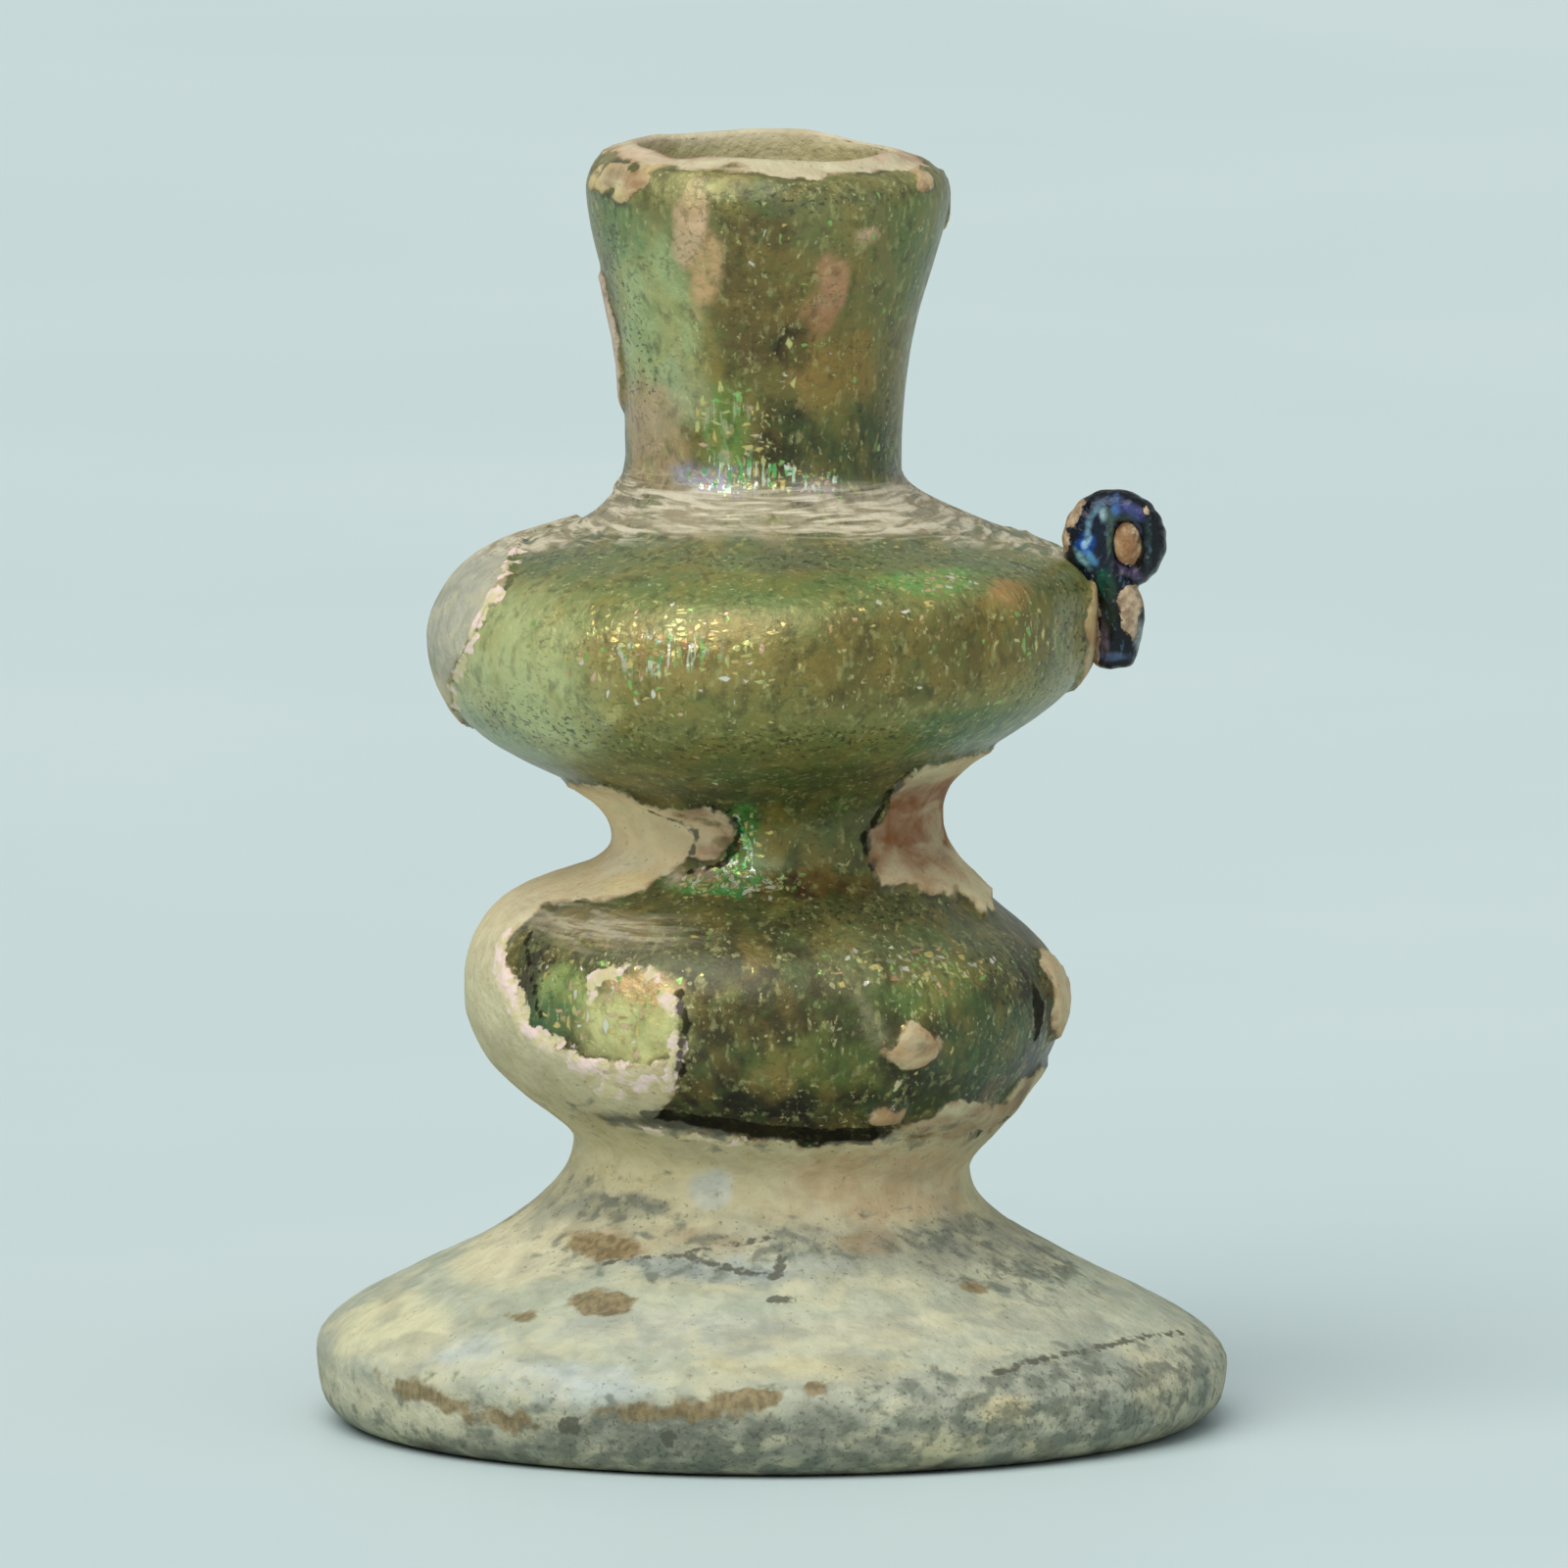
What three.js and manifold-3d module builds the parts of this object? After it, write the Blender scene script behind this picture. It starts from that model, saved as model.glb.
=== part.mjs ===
// A small blown glass flask of Roman make, in millimetres: a funnel neck over two squeezed bulges
// and a wide bell foot, hollow from lip to base, with the curled remains of one dark blue handle
// trailed on to its upper shoulder. +Z is up. The origin is the middle of the base, on the surface
// that the flask stands on. Seen along +Y, the handle is on the right.
import * as THREE from "three";
import { mergeVertices } from "three/addons/utils/BufferGeometryUtils.js";
import Module from "manifold-3d";

// Heights of the parts of the flask, from the surface that it stands on up to the top of the lip
const footEdge = 3.1; // up to the foot's widest part
const footCone = 9.5; // from there up to the lower waist
const lowerBulgeUnder = 7.5; // from the lower waist up to the bulge's widest part
const lowerBulgeOver = 7.9; // from there up to the upper waist
const upperBulgeUnder = 9.25; // from the upper waist up to the bulge's widest part
const upperBulgeOver = 4.75; // from there up to the shoulder
const shoulderFillet = 3.2; // from the shoulder up to the root of the neck
const neck = 12.5; // from the root of the neck up to the rim's widest part
const lip = 2.3; // from there up to the top of the lip

// Outside radii at those heights
const footRadius = 21.15;
const lowerWaistRadius = 9.1;
const lowerBulgeRadius = 14;
const upperWaistRadius = 7.6;
const upperBulgeRadius = 15.6;
const shoulderRadius = 10.25;
const neckRadius = 6.55;
const rimRadius = 8.55;

// The shoulder runs down and out to the upper bulge at this angle from level
const shoulderSlope = 20;

// The base: a flat ring to stand on, round a low kick where the iron pushed the glass up
const standingRadius = 18.8;
const standingWidth = 2.6;
const kickHeight = 1.1;

// The mouth: the lip is folded in, thicker than the wall, and its top slopes down outwards
const mouthRadius = 6.05;
const mouthRounding = 0.25; // rounds the lip's highest line into the mouth
const lipSlopeDrop = 0.5; // how much lower the top is at the lip's outer edge
const lipBevel = 0.85; // how far that edge lies inside the rim's widest part
const lipFold = 2.6; // how far down the folded glass reaches inside

// Thickness of the glass
const wall = 1.2;
const footWall = 1.45;
const baseThickness = 1.8;

// How far the outline runs straight on from each end of a part before it turns, as a share of the
// part's height: a long run makes a full, blunt bulge or a long waist, and a short one a sharp one
const heelRun = { leave: 0.6, arrive: 0.74 };
const footConeRun = { leave: 0.27, arrive: 0.46 };
const lowerBulgeUnderRun = { leave: 0.17, arrive: 0.55 };
const lowerBulgeOverRun = { leave: 0.62, arrive: 0.37 };
const upperBulgeUnderRun = { leave: 0.4, arrive: 0.63 };
const upperBulgeOverRun = { leave: 0.76, arrive: 0.63 };
const shoulderFilletRun = { leave: 0.31, arrive: 0.44 };
const neckRun = { leave: 0.59, arrive: 0.22 };
const lipRun = { leave: 0.38, arrive: 0.15 };
const foldRun = { leave: 0.6, arrive: 0.8 };

// The heights that those parts reach
const lowerWaistHeight = footEdge + footCone;
const lowerBulgeHeight = lowerWaistHeight + lowerBulgeUnder;
const upperWaistHeight = lowerBulgeHeight + lowerBulgeOver;
const upperBulgeHeight = upperWaistHeight + upperBulgeUnder;
const shoulderHeight = upperBulgeHeight + upperBulgeOver;
const neckRootHeight = shoulderHeight + shoulderFillet;
const rimHeight = neckRootHeight + neck;
const height = rimHeight + lip;

// The hand-made unevenness: at each height, how far the middle wanders to the right, how far it
// wanders away from the front, and by how many degrees the left side rides up
const unevenness = [
  { at: 0, right: 0, back: 0, leftUp: 0 },
  { at: footEdge, right: 0, back: 0, leftUp: 1.1 },
  { at: footEdge + footCone / 2, right: -0.1, back: 0.05, leftUp: 1.3 },
  { at: lowerWaistHeight, right: 0, back: 0.1, leftUp: 4.1 },
  { at: lowerWaistHeight + lowerBulgeUnder / 2, right: -0.35, back: 0.1, leftUp: 2.2 },
  { at: lowerBulgeHeight, right: -0.25, back: 0.15, leftUp: 1.3 },
  { at: lowerBulgeHeight + lowerBulgeOver / 2, right: -0.35, back: 0.1, leftUp: 2.3 },
  { at: upperWaistHeight, right: 0.25, back: 0, leftUp: -3.8 },
  { at: upperWaistHeight + upperBulgeUnder / 2, right: -0.15, back: -0.1, leftUp: -3.3 },
  { at: upperBulgeHeight, right: -0.4, back: -0.2, leftUp: -1.4 },
  { at: shoulderHeight, right: 0.5, back: -0.15, leftUp: 0.2 },
  { at: neckRootHeight, right: -0.4, back: -0.1, leftUp: 3.4 },
  { at: neckRootHeight + neck / 2, right: -0.35, back: 0, leftUp: 0.9 },
  { at: rimHeight, right: -0.2, back: 0.1, leftUp: 0.6 },
];

// The handle: a trail pressed on to the side of the upper bulge, drawn up as a short stem and
// curled over into a ring that leans on the shoulder
const handleTurn = -7; // degrees round from the right, towards the front
const stemDrop = 1.6; // foot of the stem, below the widest part of the bulge
const stemReach = 0.75; // middle of the stem, beyond the widest part of the bulge
const stemWidth = 2.1; // out from the wall
const stemDepth = 1.9; // along the wall
const ringRise = 4.4; // middle of the ring, above the widest part of the bulge
const ringReach = 0.55; // middle of the ring, beyond the widest part of the bulge
const ringRadius = 2.42;
const ringDepth = 2; // along the wall
const ringThin = 1.25; // the trail on the ring's outer side
const ringThick = 2.35; // where the trail's end lies doubled, next to the shoulder
const eyeDepth = 0.9; // thickness of the earth that plugs the ring's eye
const eyeStretch = 1.4; // the eye's height over its width
const eyeLap = 0.4; // how far the earth runs in under the trail on each side
const handleGap = 0.3; // left between the handle and the wall of the flask

// The stem's form from its broken foot, where it flares on the wall, to its pinched top inside the
// ring: where each section is, as a share of the way up, and its width and depth as shares
const stemForm = [
  { way: 0, width: 0.82, depth: 0.95 },
  { way: 0.12, width: 1.12, depth: 1.1 },
  { way: 0.5, width: 1, depth: 1 },
  { way: 0.8, width: 0.8, depth: 0.9 },
  { way: 1, width: 0.62, depth: 0.7 },
];

// How finely the round forms are cut
const columns = 56;
const outerSteps = 6;
const innerSteps = 3;
const baseSteps = 3;
const trailSides = 10;
const ringSteps = 24;

// A run of points along the outline from a to b, without a itself. It leaves a and arrives at b
// along the two given directions, each as long as its run.
function bend(a, b, leaving, arriving, steps) {
  const curve = new THREE.CubicBezierCurve(a, a.clone().add(leaving), b.clone().sub(arriving), b);
  return curve.getPoints(steps).slice(1);
}

// Straight up by a share of a height.
function upright(part, share) {
  return new THREE.Vector2(0, part * share);
}

// A bend of the given height that leaves and arrives upright, as it does at a waist or a bulge.
function flank(a, b, part, run, steps) {
  return bend(a, b, upright(part, run.leave), upright(part, run.arrive), steps);
}

// The outline of the outside, from the middle of the underside out, up and in to the mouth.
function outsideOutline(steps) {
  const at = (radius, z) => new THREE.Vector2(radius, z);
  const standing = at(standingRadius, 0);
  const foot = at(footRadius, footEdge);
  const lowerWaist = at(lowerWaistRadius, lowerWaistHeight);
  const lowerBulge = at(lowerBulgeRadius, lowerBulgeHeight);
  const upperWaist = at(upperWaistRadius, upperWaistHeight);
  const upperBulge = at(upperBulgeRadius, upperBulgeHeight);
  const shoulder = at(shoulderRadius, shoulderHeight);
  const neckRoot = at(neckRadius, neckRootHeight);
  const rim = at(rimRadius, rimHeight);
  const lipEdge = at(rimRadius - lipBevel, height - lipSlopeDrop);
  const crest = at(mouthRadius + mouthRounding, height);

  const kickEdge = standingRadius - standingWidth;
  const kickTop = at(0, kickHeight);
  const kick = bend(kickTop, at(kickEdge, 0), at(kickEdge / 2, 0), at(kickEdge / 3, 0), baseSteps);
  const heelOut = at((footRadius - standingRadius) * heelRun.leave, 0);
  const heelUp = upright(footEdge, heelRun.arrive);
  const inwards = THREE.MathUtils.degToRad(180 - shoulderSlope);
  const slope = at(Math.cos(inwards), Math.sin(inwards));
  const ontoShoulder = slope.clone().multiplyScalar(upperBulgeOver * upperBulgeOverRun.arrive);
  const offShoulder = slope.clone().multiplyScalar(shoulderFillet * shoulderFilletRun.leave);
  const overBulge = upright(upperBulgeOver, upperBulgeOverRun.leave);
  const intoNeck = upright(shoulderFillet, shoulderFilletRun.arrive);
  const ontoLip = crest.clone().sub(lipEdge).setLength(lip * lipRun.arrive);
  return [
    kickTop,
    ...kick,
    standing,
    ...bend(standing, foot, heelOut, heelUp, baseSteps + 1),
    ...flank(foot, lowerWaist, footCone, footConeRun, steps),
    ...flank(lowerWaist, lowerBulge, lowerBulgeUnder, lowerBulgeUnderRun, steps),
    ...flank(lowerBulge, upperWaist, lowerBulgeOver, lowerBulgeOverRun, steps),
    ...flank(upperWaist, upperBulge, upperBulgeUnder, upperBulgeUnderRun, steps),
    ...bend(upperBulge, shoulder, overBulge, ontoShoulder, steps - 2),
    ...bend(shoulder, neckRoot, offShoulder, intoNeck, steps - 2),
    ...flank(neckRoot, rim, neck, neckRun, steps),
    ...bend(rim, lipEdge, upright(lip, lipRun.leave), ontoLip, baseSteps),
    crest,
  ];
}

// The glass is thickest in the base, and thicker in the foot than above it.
function thicknessAt(point) {
  if (point.y < footEdge && point.x < footRadius) {
    const outwards = THREE.MathUtils.smoothstep(point.x, standingRadius, footRadius);
    return THREE.MathUtils.lerp(baseThickness, footWall, outwards);
  }
  const upwards = THREE.MathUtils.smoothstep(point.y, footEdge, lowerBulgeHeight);
  return THREE.MathUtils.lerp(footWall, wall, upwards);
}

// Moves an outline square to itself by a distance at each point, to its left for a positive one.
// Where a tight turn would fold the moved line over itself, the folded points are left out: they
// would lie nearer to the outline than the distance, here with a little allowance.
function offsetOutline(points, distanceAt) {
  const allowance = 0.97;
  const moved = points.map((point, i) => {
    const before = points[Math.max(i - 1, 0)];
    const after = points[Math.min(i + 1, points.length - 1)];
    const along = after.clone().sub(before).normalize();
    if (i === 0 || point.x === 0) along.set(Math.sign(after.x - before.x), 0);
    const distance = distanceAt(point);
    const to = new THREE.Vector2(-along.y, along.x).multiplyScalar(distance).add(point);
    return { to, distance };
  });
  const keeps = ({ to, distance }) =>
    to.x >= 0 && points.every((point) => point.distanceTo(to) > Math.abs(distance) * allowance);
  return moved.filter(keeps).map(({ to }) => to);
}

// The outline of the inside, from the mouth down to the middle of the floor.
function insideOutline() {
  const foldRoot = height - lipFold;
  const whole = offsetOutline(outsideOutline(innerSteps), thicknessAt);
  const cavity = whole.filter((point) => point.y < foldRoot).reverse();
  const mouth = new THREE.Vector2(mouthRadius, height - mouthRounding);
  const root = new THREE.Vector2((mouthRadius + cavity[0].x) / 2, foldRoot);
  const down = upright(-lipFold, foldRun.leave);
  const under = new THREE.Vector2((root.x - mouth.x) * foldRun.arrive, 0);
  return [mouth, ...bend(mouth, root, down, under, innerSteps), ...cavity];
}

// How the hand-made glass wanders and tips at a height, smoothly between the stated heights.
function unevennessAt(z) {
  const next = unevenness.findIndex((stated) => stated.at >= z);
  if (next <= 0) return unevenness[next === 0 ? 0 : unevenness.length - 1];
  const [low, high] = [unevenness[next - 1], unevenness[next]];
  const share = THREE.MathUtils.smoothstep(z, low.at, high.at);
  const between = (name) => THREE.MathUtils.lerp(low[name], high[name], share);
  return { right: between("right"), back: between("back"), leftUp: between("leftUp") };
}

// Where a point of the evenly turned flask lies in the real, uneven one.
function uneven(point) {
  const { right, back, leftUp } = unevennessAt(Math.max(point.z, 0));
  const tip = -point.x * Math.tan(THREE.MathUtils.degToRad(leftUp));
  return point.clone().add(new THREE.Vector3(right, back, tip));
}

// Turns an outline about the upright axis, and gives it the glass's unevenness.
function turned(outline) {
  const geometry = new THREE.LatheGeometry(outline, columns).rotateX(Math.PI / 2);
  const places = geometry.getAttribute("position");
  for (let i = 0; i < places.count; i++) {
    const place = uneven(new THREE.Vector3().fromBufferAttribute(places, i));
    places.setXYZ(i, place.x, place.y, place.z);
  }
  return geometry;
}

// A closed skin over rows of points that run round a form. Rows of one point close it to a tip, and
// looped joins the last row to the first.
function skin(rows, looped = false) {
  const corners = [];
  const quad = (a, b, c, d) => corners.push(a, b, c, a, c, d);
  const last = looped ? rows.length : rows.length - 1;
  for (let i = 0; i < last; i++) {
    const [row, next] = [rows[i], rows[(i + 1) % rows.length]];
    const count = Math.max(row.length, next.length);
    for (let j = 0; j < count; j++) {
      const k = (j + 1) % count;
      if (row.length === 1) corners.push(row[0], next[k], next[j]);
      else if (next.length === 1) corners.push(row[j], row[k], next[0]);
      else quad(row[j], row[k], next[k], next[j]);
    }
  }
  return new THREE.BufferGeometry().setFromPoints(corners);
}

// A point of the handle's own plane: out from the axis, along the wall's tangent, and up.
function handlePoint(out, across, up) {
  const turn = THREE.MathUtils.degToRad(handleTurn);
  const [c, s] = [Math.cos(turn), Math.sin(turn)];
  return new THREE.Vector3(out * c - across * s, out * s + across * c, up);
}

// Rows of an oval trail whose middles, widths out from the wall and depths along it are given.
function trail(stations) {
  const rows = stations.map(({ out, up, width, depth }) => {
    const row = [];
    for (let j = 0; j < trailSides; j++) {
      const angle = (2 * Math.PI * j) / trailSides;
      const [x, y] = [(Math.cos(angle) * width) / 2, (Math.sin(angle) * depth) / 2];
      row.push(handlePoint(out + x, y, up));
    }
    return row;
  });
  const cap = ({ out, up }) => [handlePoint(out, 0, up)];
  return skin([cap(stations[0]), ...rows, cap(stations[stations.length - 1])]);
}

// The ring at the handle's top, thin on its outer side and doubled next to the shoulder.
function ring(middleOut, middleUp) {
  const rows = [];
  for (let i = 0; i < ringSteps; i++) {
    const angle = (2 * Math.PI * i) / ringSteps;
    const towardsFlask = (1 - Math.cos(angle)) / 2;
    const thick = THREE.MathUtils.lerp(ringThin, ringThick, towardsFlask);
    const row = [];
    for (let j = 0; j < trailSides; j++) {
      const around = (2 * Math.PI * j) / trailSides;
      const reach = ringRadius - thick / 2 + (Math.cos(around) * thick) / 2;
      const across = (Math.sin(around) * ringDepth) / 2;
      const [out, up] = [Math.cos(angle) * reach, Math.sin(angle) * reach];
      row.push(handlePoint(middleOut + out, across, middleUp + up));
    }
    rows.push(row);
  }
  return skin(rows, true);
}

const wasm = await Module();
wasm.setup();

// A closed three.js geometry as a solid that can be joined and cut.
function toSolid(geometry) {
  const bare = new THREE.BufferGeometry();
  bare.setIndex(geometry.index);
  bare.setAttribute("position", geometry.getAttribute("position"));
  const merged = mergeVertices(bare, 1e-4);
  const mesh = { vertProperties: merged.getAttribute("position").array };
  mesh.triVerts = new Uint32Array(merged.index.array);
  return new wasm.Manifold(new wasm.Mesh({ numProp: 3, ...mesh }));
}

// A solid's faces as a three.js geometry.
function toGeometry(solid) {
  const { vertProperties, triVerts } = solid.getMesh();
  const geometry = new THREE.BufferGeometry();
  geometry.setAttribute("position", new THREE.BufferAttribute(vertProperties, 3));
  geometry.setIndex(new THREE.BufferAttribute(triVerts, 1));
  return geometry;
}

function finished(name, geometry, colour, roughness) {
  geometry.computeVertexNormals();
  const material = new THREE.MeshStandardMaterial({ color: colour, roughness, metalness: 0 });
  const mesh = new THREE.Mesh(geometry, material);
  mesh.name = name;
  return mesh;
}

// The flask itself: blown as one bubble, so the neck, both bulges and the foot are one solid.
function flaskBody() {
  const outline = [...outsideOutline(outerSteps), ...insideOutline()];
  return finished("flask_body", turned(outline), 0x8b8b62, 0.45);
}

// The flask's outer form, filled and grown by the gap, which shapes the handle's inner side.
function grownFlask() {
  const outside = offsetOutline(outsideOutline(outerSteps), () => -handleGap);
  const top = outside[outside.length - 1];
  return toSolid(turned([...outside, new THREE.Vector2(0, top.y)]));
}

// The handle's remains: the stem that climbs the side of the bulge, the ring, and its plugged eye.
function handleRemains() {
  const ringOut = upperBulgeRadius + ringReach;
  const ringUp = upperBulgeHeight + ringRise;
  const stemFoot = upperBulgeHeight - stemDrop;
  const stemTop = ringUp - ringRadius + ringThin;
  const stations = stemForm.map(({ way, width, depth }) => ({
    out: upperBulgeRadius + stemReach,
    up: THREE.MathUtils.lerp(stemFoot, stemTop, way),
    width: stemWidth * width,
    depth: stemDepth * depth,
  }));
  const eye = handlePoint(ringOut + (ringThick - ringThin) / 2, 0, ringUp);
  const eyeRadius = ringRadius - (ringThick + ringThin) / 2 + eyeLap;
  const plug = new THREE.CylinderGeometry(eyeRadius, eyeRadius, eyeDepth, trailSides);
  plug.scale(1, 1, eyeStretch).rotateZ(THREE.MathUtils.degToRad(handleTurn));
  plug.translate(eye.x, eye.y, eye.z);
  const stem = toSolid(trail(stations));
  const joined = toSolid(ring(ringOut, ringUp)).add(stem).add(toSolid(plug));
  const cut = joined.subtract(grownFlask());
  return finished("handle_remains", toGeometry(cut), 0x1c2c46, 0.25);
}

const flask = new THREE.Group();
flask.add(flaskBody(), handleRemains());

export default flask;
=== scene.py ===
# %% [markdown]
# # A small flask of weathered ancient glass
# The real flask is about as tall as a thumb. A glassblower blew one bubble of green glass, pinched
# it twice into a funnel neck, two bulges and a bell foot, and trailed a handle of dark blue glass
# on to its side. Centuries in the ground then covered it with a cream crust, which has flaked away
# in places, so that green and gold glass shows. This lesson builds the flask in that order: the
# form of the glass first, then the crust on it, then the finishes, the handle and the light.

# %% Load the frame
import math

import bmesh
import bpy
import numpy as np
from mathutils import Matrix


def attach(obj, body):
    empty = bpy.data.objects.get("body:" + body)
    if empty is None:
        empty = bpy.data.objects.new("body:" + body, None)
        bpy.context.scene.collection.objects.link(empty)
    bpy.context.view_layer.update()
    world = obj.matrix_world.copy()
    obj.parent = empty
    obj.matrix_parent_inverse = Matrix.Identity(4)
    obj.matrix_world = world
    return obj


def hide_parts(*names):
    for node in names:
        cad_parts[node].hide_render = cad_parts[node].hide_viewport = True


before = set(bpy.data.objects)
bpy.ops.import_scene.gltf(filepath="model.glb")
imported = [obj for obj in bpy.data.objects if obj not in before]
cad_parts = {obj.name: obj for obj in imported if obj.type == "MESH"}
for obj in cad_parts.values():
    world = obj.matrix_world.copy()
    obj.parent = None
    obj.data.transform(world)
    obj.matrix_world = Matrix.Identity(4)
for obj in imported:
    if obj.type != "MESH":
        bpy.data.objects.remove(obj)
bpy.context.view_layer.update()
MM = 0.001

# %% [markdown]
# The outline of the flask is drawn once, as half a section. Each part of it, such as a bulge or a
# waist, is one Bézier bend between two heights. A bend leaves and arrives upright where the
# flask is widest or narrowest, so neighbouring bends meet without a corner. The numbers are real
# sizes in millimetres, the same ones that the solid model has.

# %% The sizes of the flask
FOOT_EDGE, FOOT_CONE = 3.1, 9.5
LOWER_BULGE_UNDER, LOWER_BULGE_OVER = 7.5, 7.9
UPPER_BULGE_UNDER, UPPER_BULGE_OVER = 9.25, 4.75
SHOULDER_FILLET, NECK, LIP = 3.2, 12.5, 2.3
FOOT_RADIUS, LOWER_WAIST_RADIUS, LOWER_BULGE_RADIUS = 21.15, 9.1, 14.0
UPPER_WAIST_RADIUS, UPPER_BULGE_RADIUS, SHOULDER_RADIUS = 7.6, 15.6, 10.25
NECK_RADIUS, RIM_RADIUS, MOUTH_RADIUS = 6.55, 8.55, 6.05
SHOULDER_SLOPE = math.radians(20)
STANDING_RADIUS, STANDING_WIDTH, KICK = 18.8, 2.6, 1.1
MOUTH_ROUNDING, LIP_SLOPE_DROP, LIP_BEVEL, LIP_FOLD = 0.25, 0.5, 0.85, 2.6
WALL, FOOT_WALL, BASE_WALL = 1.2, 1.45, 1.8

LOWER_WAIST = FOOT_EDGE + FOOT_CONE
LOWER_BULGE = LOWER_WAIST + LOWER_BULGE_UNDER
UPPER_WAIST = LOWER_BULGE + LOWER_BULGE_OVER
UPPER_BULGE = UPPER_WAIST + UPPER_BULGE_UNDER
SHOULDER = UPPER_BULGE + UPPER_BULGE_OVER
NECK_ROOT = SHOULDER + SHOULDER_FILLET
RIM = NECK_ROOT + NECK
HEIGHT = RIM + LIP
print("Heights in mm:", LOWER_WAIST, LOWER_BULGE, UPPER_WAIST, UPPER_BULGE, SHOULDER, NECK_ROOT, HEIGHT)


# %% Draw the outside of the half section
def bend(a, b, leaving, arriving, count=60):
    """Points of a Bézier bend from a to b, without a itself."""
    a, b, leaving, arriving = (np.array(v, float) for v in (a, b, leaving, arriving))
    t = np.linspace(0, 1, count + 1)[1:, None]
    first, second = a + leaving, b - arriving
    return (1 - t) ** 3 * a + 3 * (1 - t) ** 2 * t * first + 3 * (1 - t) * t**2 * second + t**3 * b


def flank(a, b, leave, arrive):
    """A bend that leaves and arrives upright, by shares of its own height."""
    rise = b[1] - a[1]
    return bend(a, b, (0, rise * leave), (0, rise * arrive))


def outside_outline():
    standing, foot = (STANDING_RADIUS, 0), (FOOT_RADIUS, FOOT_EDGE)
    lower_waist, lower_bulge = (LOWER_WAIST_RADIUS, LOWER_WAIST), (LOWER_BULGE_RADIUS, LOWER_BULGE)
    upper_waist, upper_bulge = (UPPER_WAIST_RADIUS, UPPER_WAIST), (UPPER_BULGE_RADIUS, UPPER_BULGE)
    shoulder, neck_root = (SHOULDER_RADIUS, SHOULDER), (NECK_RADIUS, NECK_ROOT)
    rim, lip_edge = (RIM_RADIUS, RIM), (RIM_RADIUS - LIP_BEVEL, HEIGHT - LIP_SLOPE_DROP)
    crest, mouth = (MOUTH_RADIUS + MOUTH_ROUNDING, HEIGHT), (MOUTH_RADIUS, HEIGHT - MOUTH_ROUNDING)
    slope = np.array((-math.cos(SHOULDER_SLOPE), math.sin(SHOULDER_SLOPE)))
    onto_lip = np.subtract(crest, lip_edge)
    onto_lip *= LIP * 0.15 / np.linalg.norm(onto_lip)
    heel = ((FOOT_RADIUS - STANDING_RADIUS) * 0.6, 0), (0, FOOT_EDGE * 0.74)
    return np.vstack([
        [standing],
        bend(standing, foot, *heel),
        flank(foot, lower_waist, 0.27, 0.46),
        flank(lower_waist, lower_bulge, 0.17, 0.55),
        flank(lower_bulge, upper_waist, 0.62, 0.37),
        flank(upper_waist, upper_bulge, 0.4, 0.63),
        bend(upper_bulge, shoulder, (0, UPPER_BULGE_OVER * 0.76), slope * UPPER_BULGE_OVER * 0.63),
        bend(shoulder, neck_root, slope * SHOULDER_FILLET * 0.31, (0, SHOULDER_FILLET * 0.44)),
        flank(neck_root, rim, 0.59, 0.22),
        bend(rim, lip_edge, (0, LIP * 0.38), onto_lip),
        bend(lip_edge, crest, onto_lip * 0.5, onto_lip * 0.5, 12),
        bend(crest, mouth, (-MOUTH_ROUNDING * 0.6, 0), (0, -MOUTH_ROUNDING * 0.6), 12),
    ])


def along(points):
    """How far each point lies along its line."""
    steps = np.hypot(*np.diff(points, axis=0).T)
    return np.concatenate([[0], np.cumsum(steps)])


def evenly(points, count):
    """The same line with its points at even distances."""
    way = along(points)
    at = np.linspace(0, way[-1], count)
    return np.stack([np.interp(at, way, points[:, k]) for k in (0, 1)], axis=1)


OUTSIDE_ROWS, UNDERSIDE_ROWS, INSIDE_ROWS, COLUMNS = 268, 12, 40, 300
outside = evenly(outside_outline(), OUTSIDE_ROWS)
print("Outline from heel to mouth in mm:", round(along(outside)[-1], 1))

# %% [markdown]
# The flask is hollow, so the section needs an inner line too. It is the outer line moved inwards by
# the thickness of the glass. Where a tight waist would fold the moved line over itself, the folded
# points lie closer to the outer line than the glass is thick, so they are dropped. At the mouth the
# glassblower folded the lip inwards, which leaves a thick roll above the wall.


# %% Draw the underside and the inside
def thickness(points):
    """How thick the glass is under each point of the outer line."""
    up = np.clip((points[:, 1] - FOOT_EDGE) / (LOWER_BULGE - FOOT_EDGE), 0, 1)
    out = np.clip((points[:, 0] - STANDING_RADIUS) / (FOOT_RADIUS - STANDING_RADIUS), 0, 1)
    above = FOOT_WALL + (WALL - FOOT_WALL) * up * up * (3 - 2 * up)
    below = BASE_WALL + (FOOT_WALL - BASE_WALL) * out
    return np.where(points[:, 1] < FOOT_EDGE, below, above)


def inside_outline(underside):
    outer = np.vstack([underside, outside])
    tangent = np.gradient(outer, axis=0)
    tangent[0] = (1, 0)
    tangent /= np.linalg.norm(tangent, axis=1)[:, None]
    wall = thickness(outer)
    moved = outer + np.stack([-tangent[:, 1], tangent[:, 0]], axis=1) * wall[:, None]
    nearest = np.linalg.norm(moved[:, None] - outer[None], axis=2).min(axis=1)
    kept = (nearest > wall * 0.985) & (moved[:, 1] < HEIGHT - LIP_FOLD) & (moved[:, 0] >= 0)
    cavity = moved[kept][::-1]
    mouth = (MOUTH_RADIUS, HEIGHT - MOUTH_ROUNDING)
    root = ((MOUTH_RADIUS + cavity[0, 0]) / 2, HEIGHT - LIP_FOLD)
    fold = bend(mouth, root, (0, -LIP_FOLD * 0.6), ((root[0] - MOUTH_RADIUS) * 0.8, 0), 8)
    return np.vstack([fold, evenly(cavity, INSIDE_ROWS - 8)])


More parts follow.
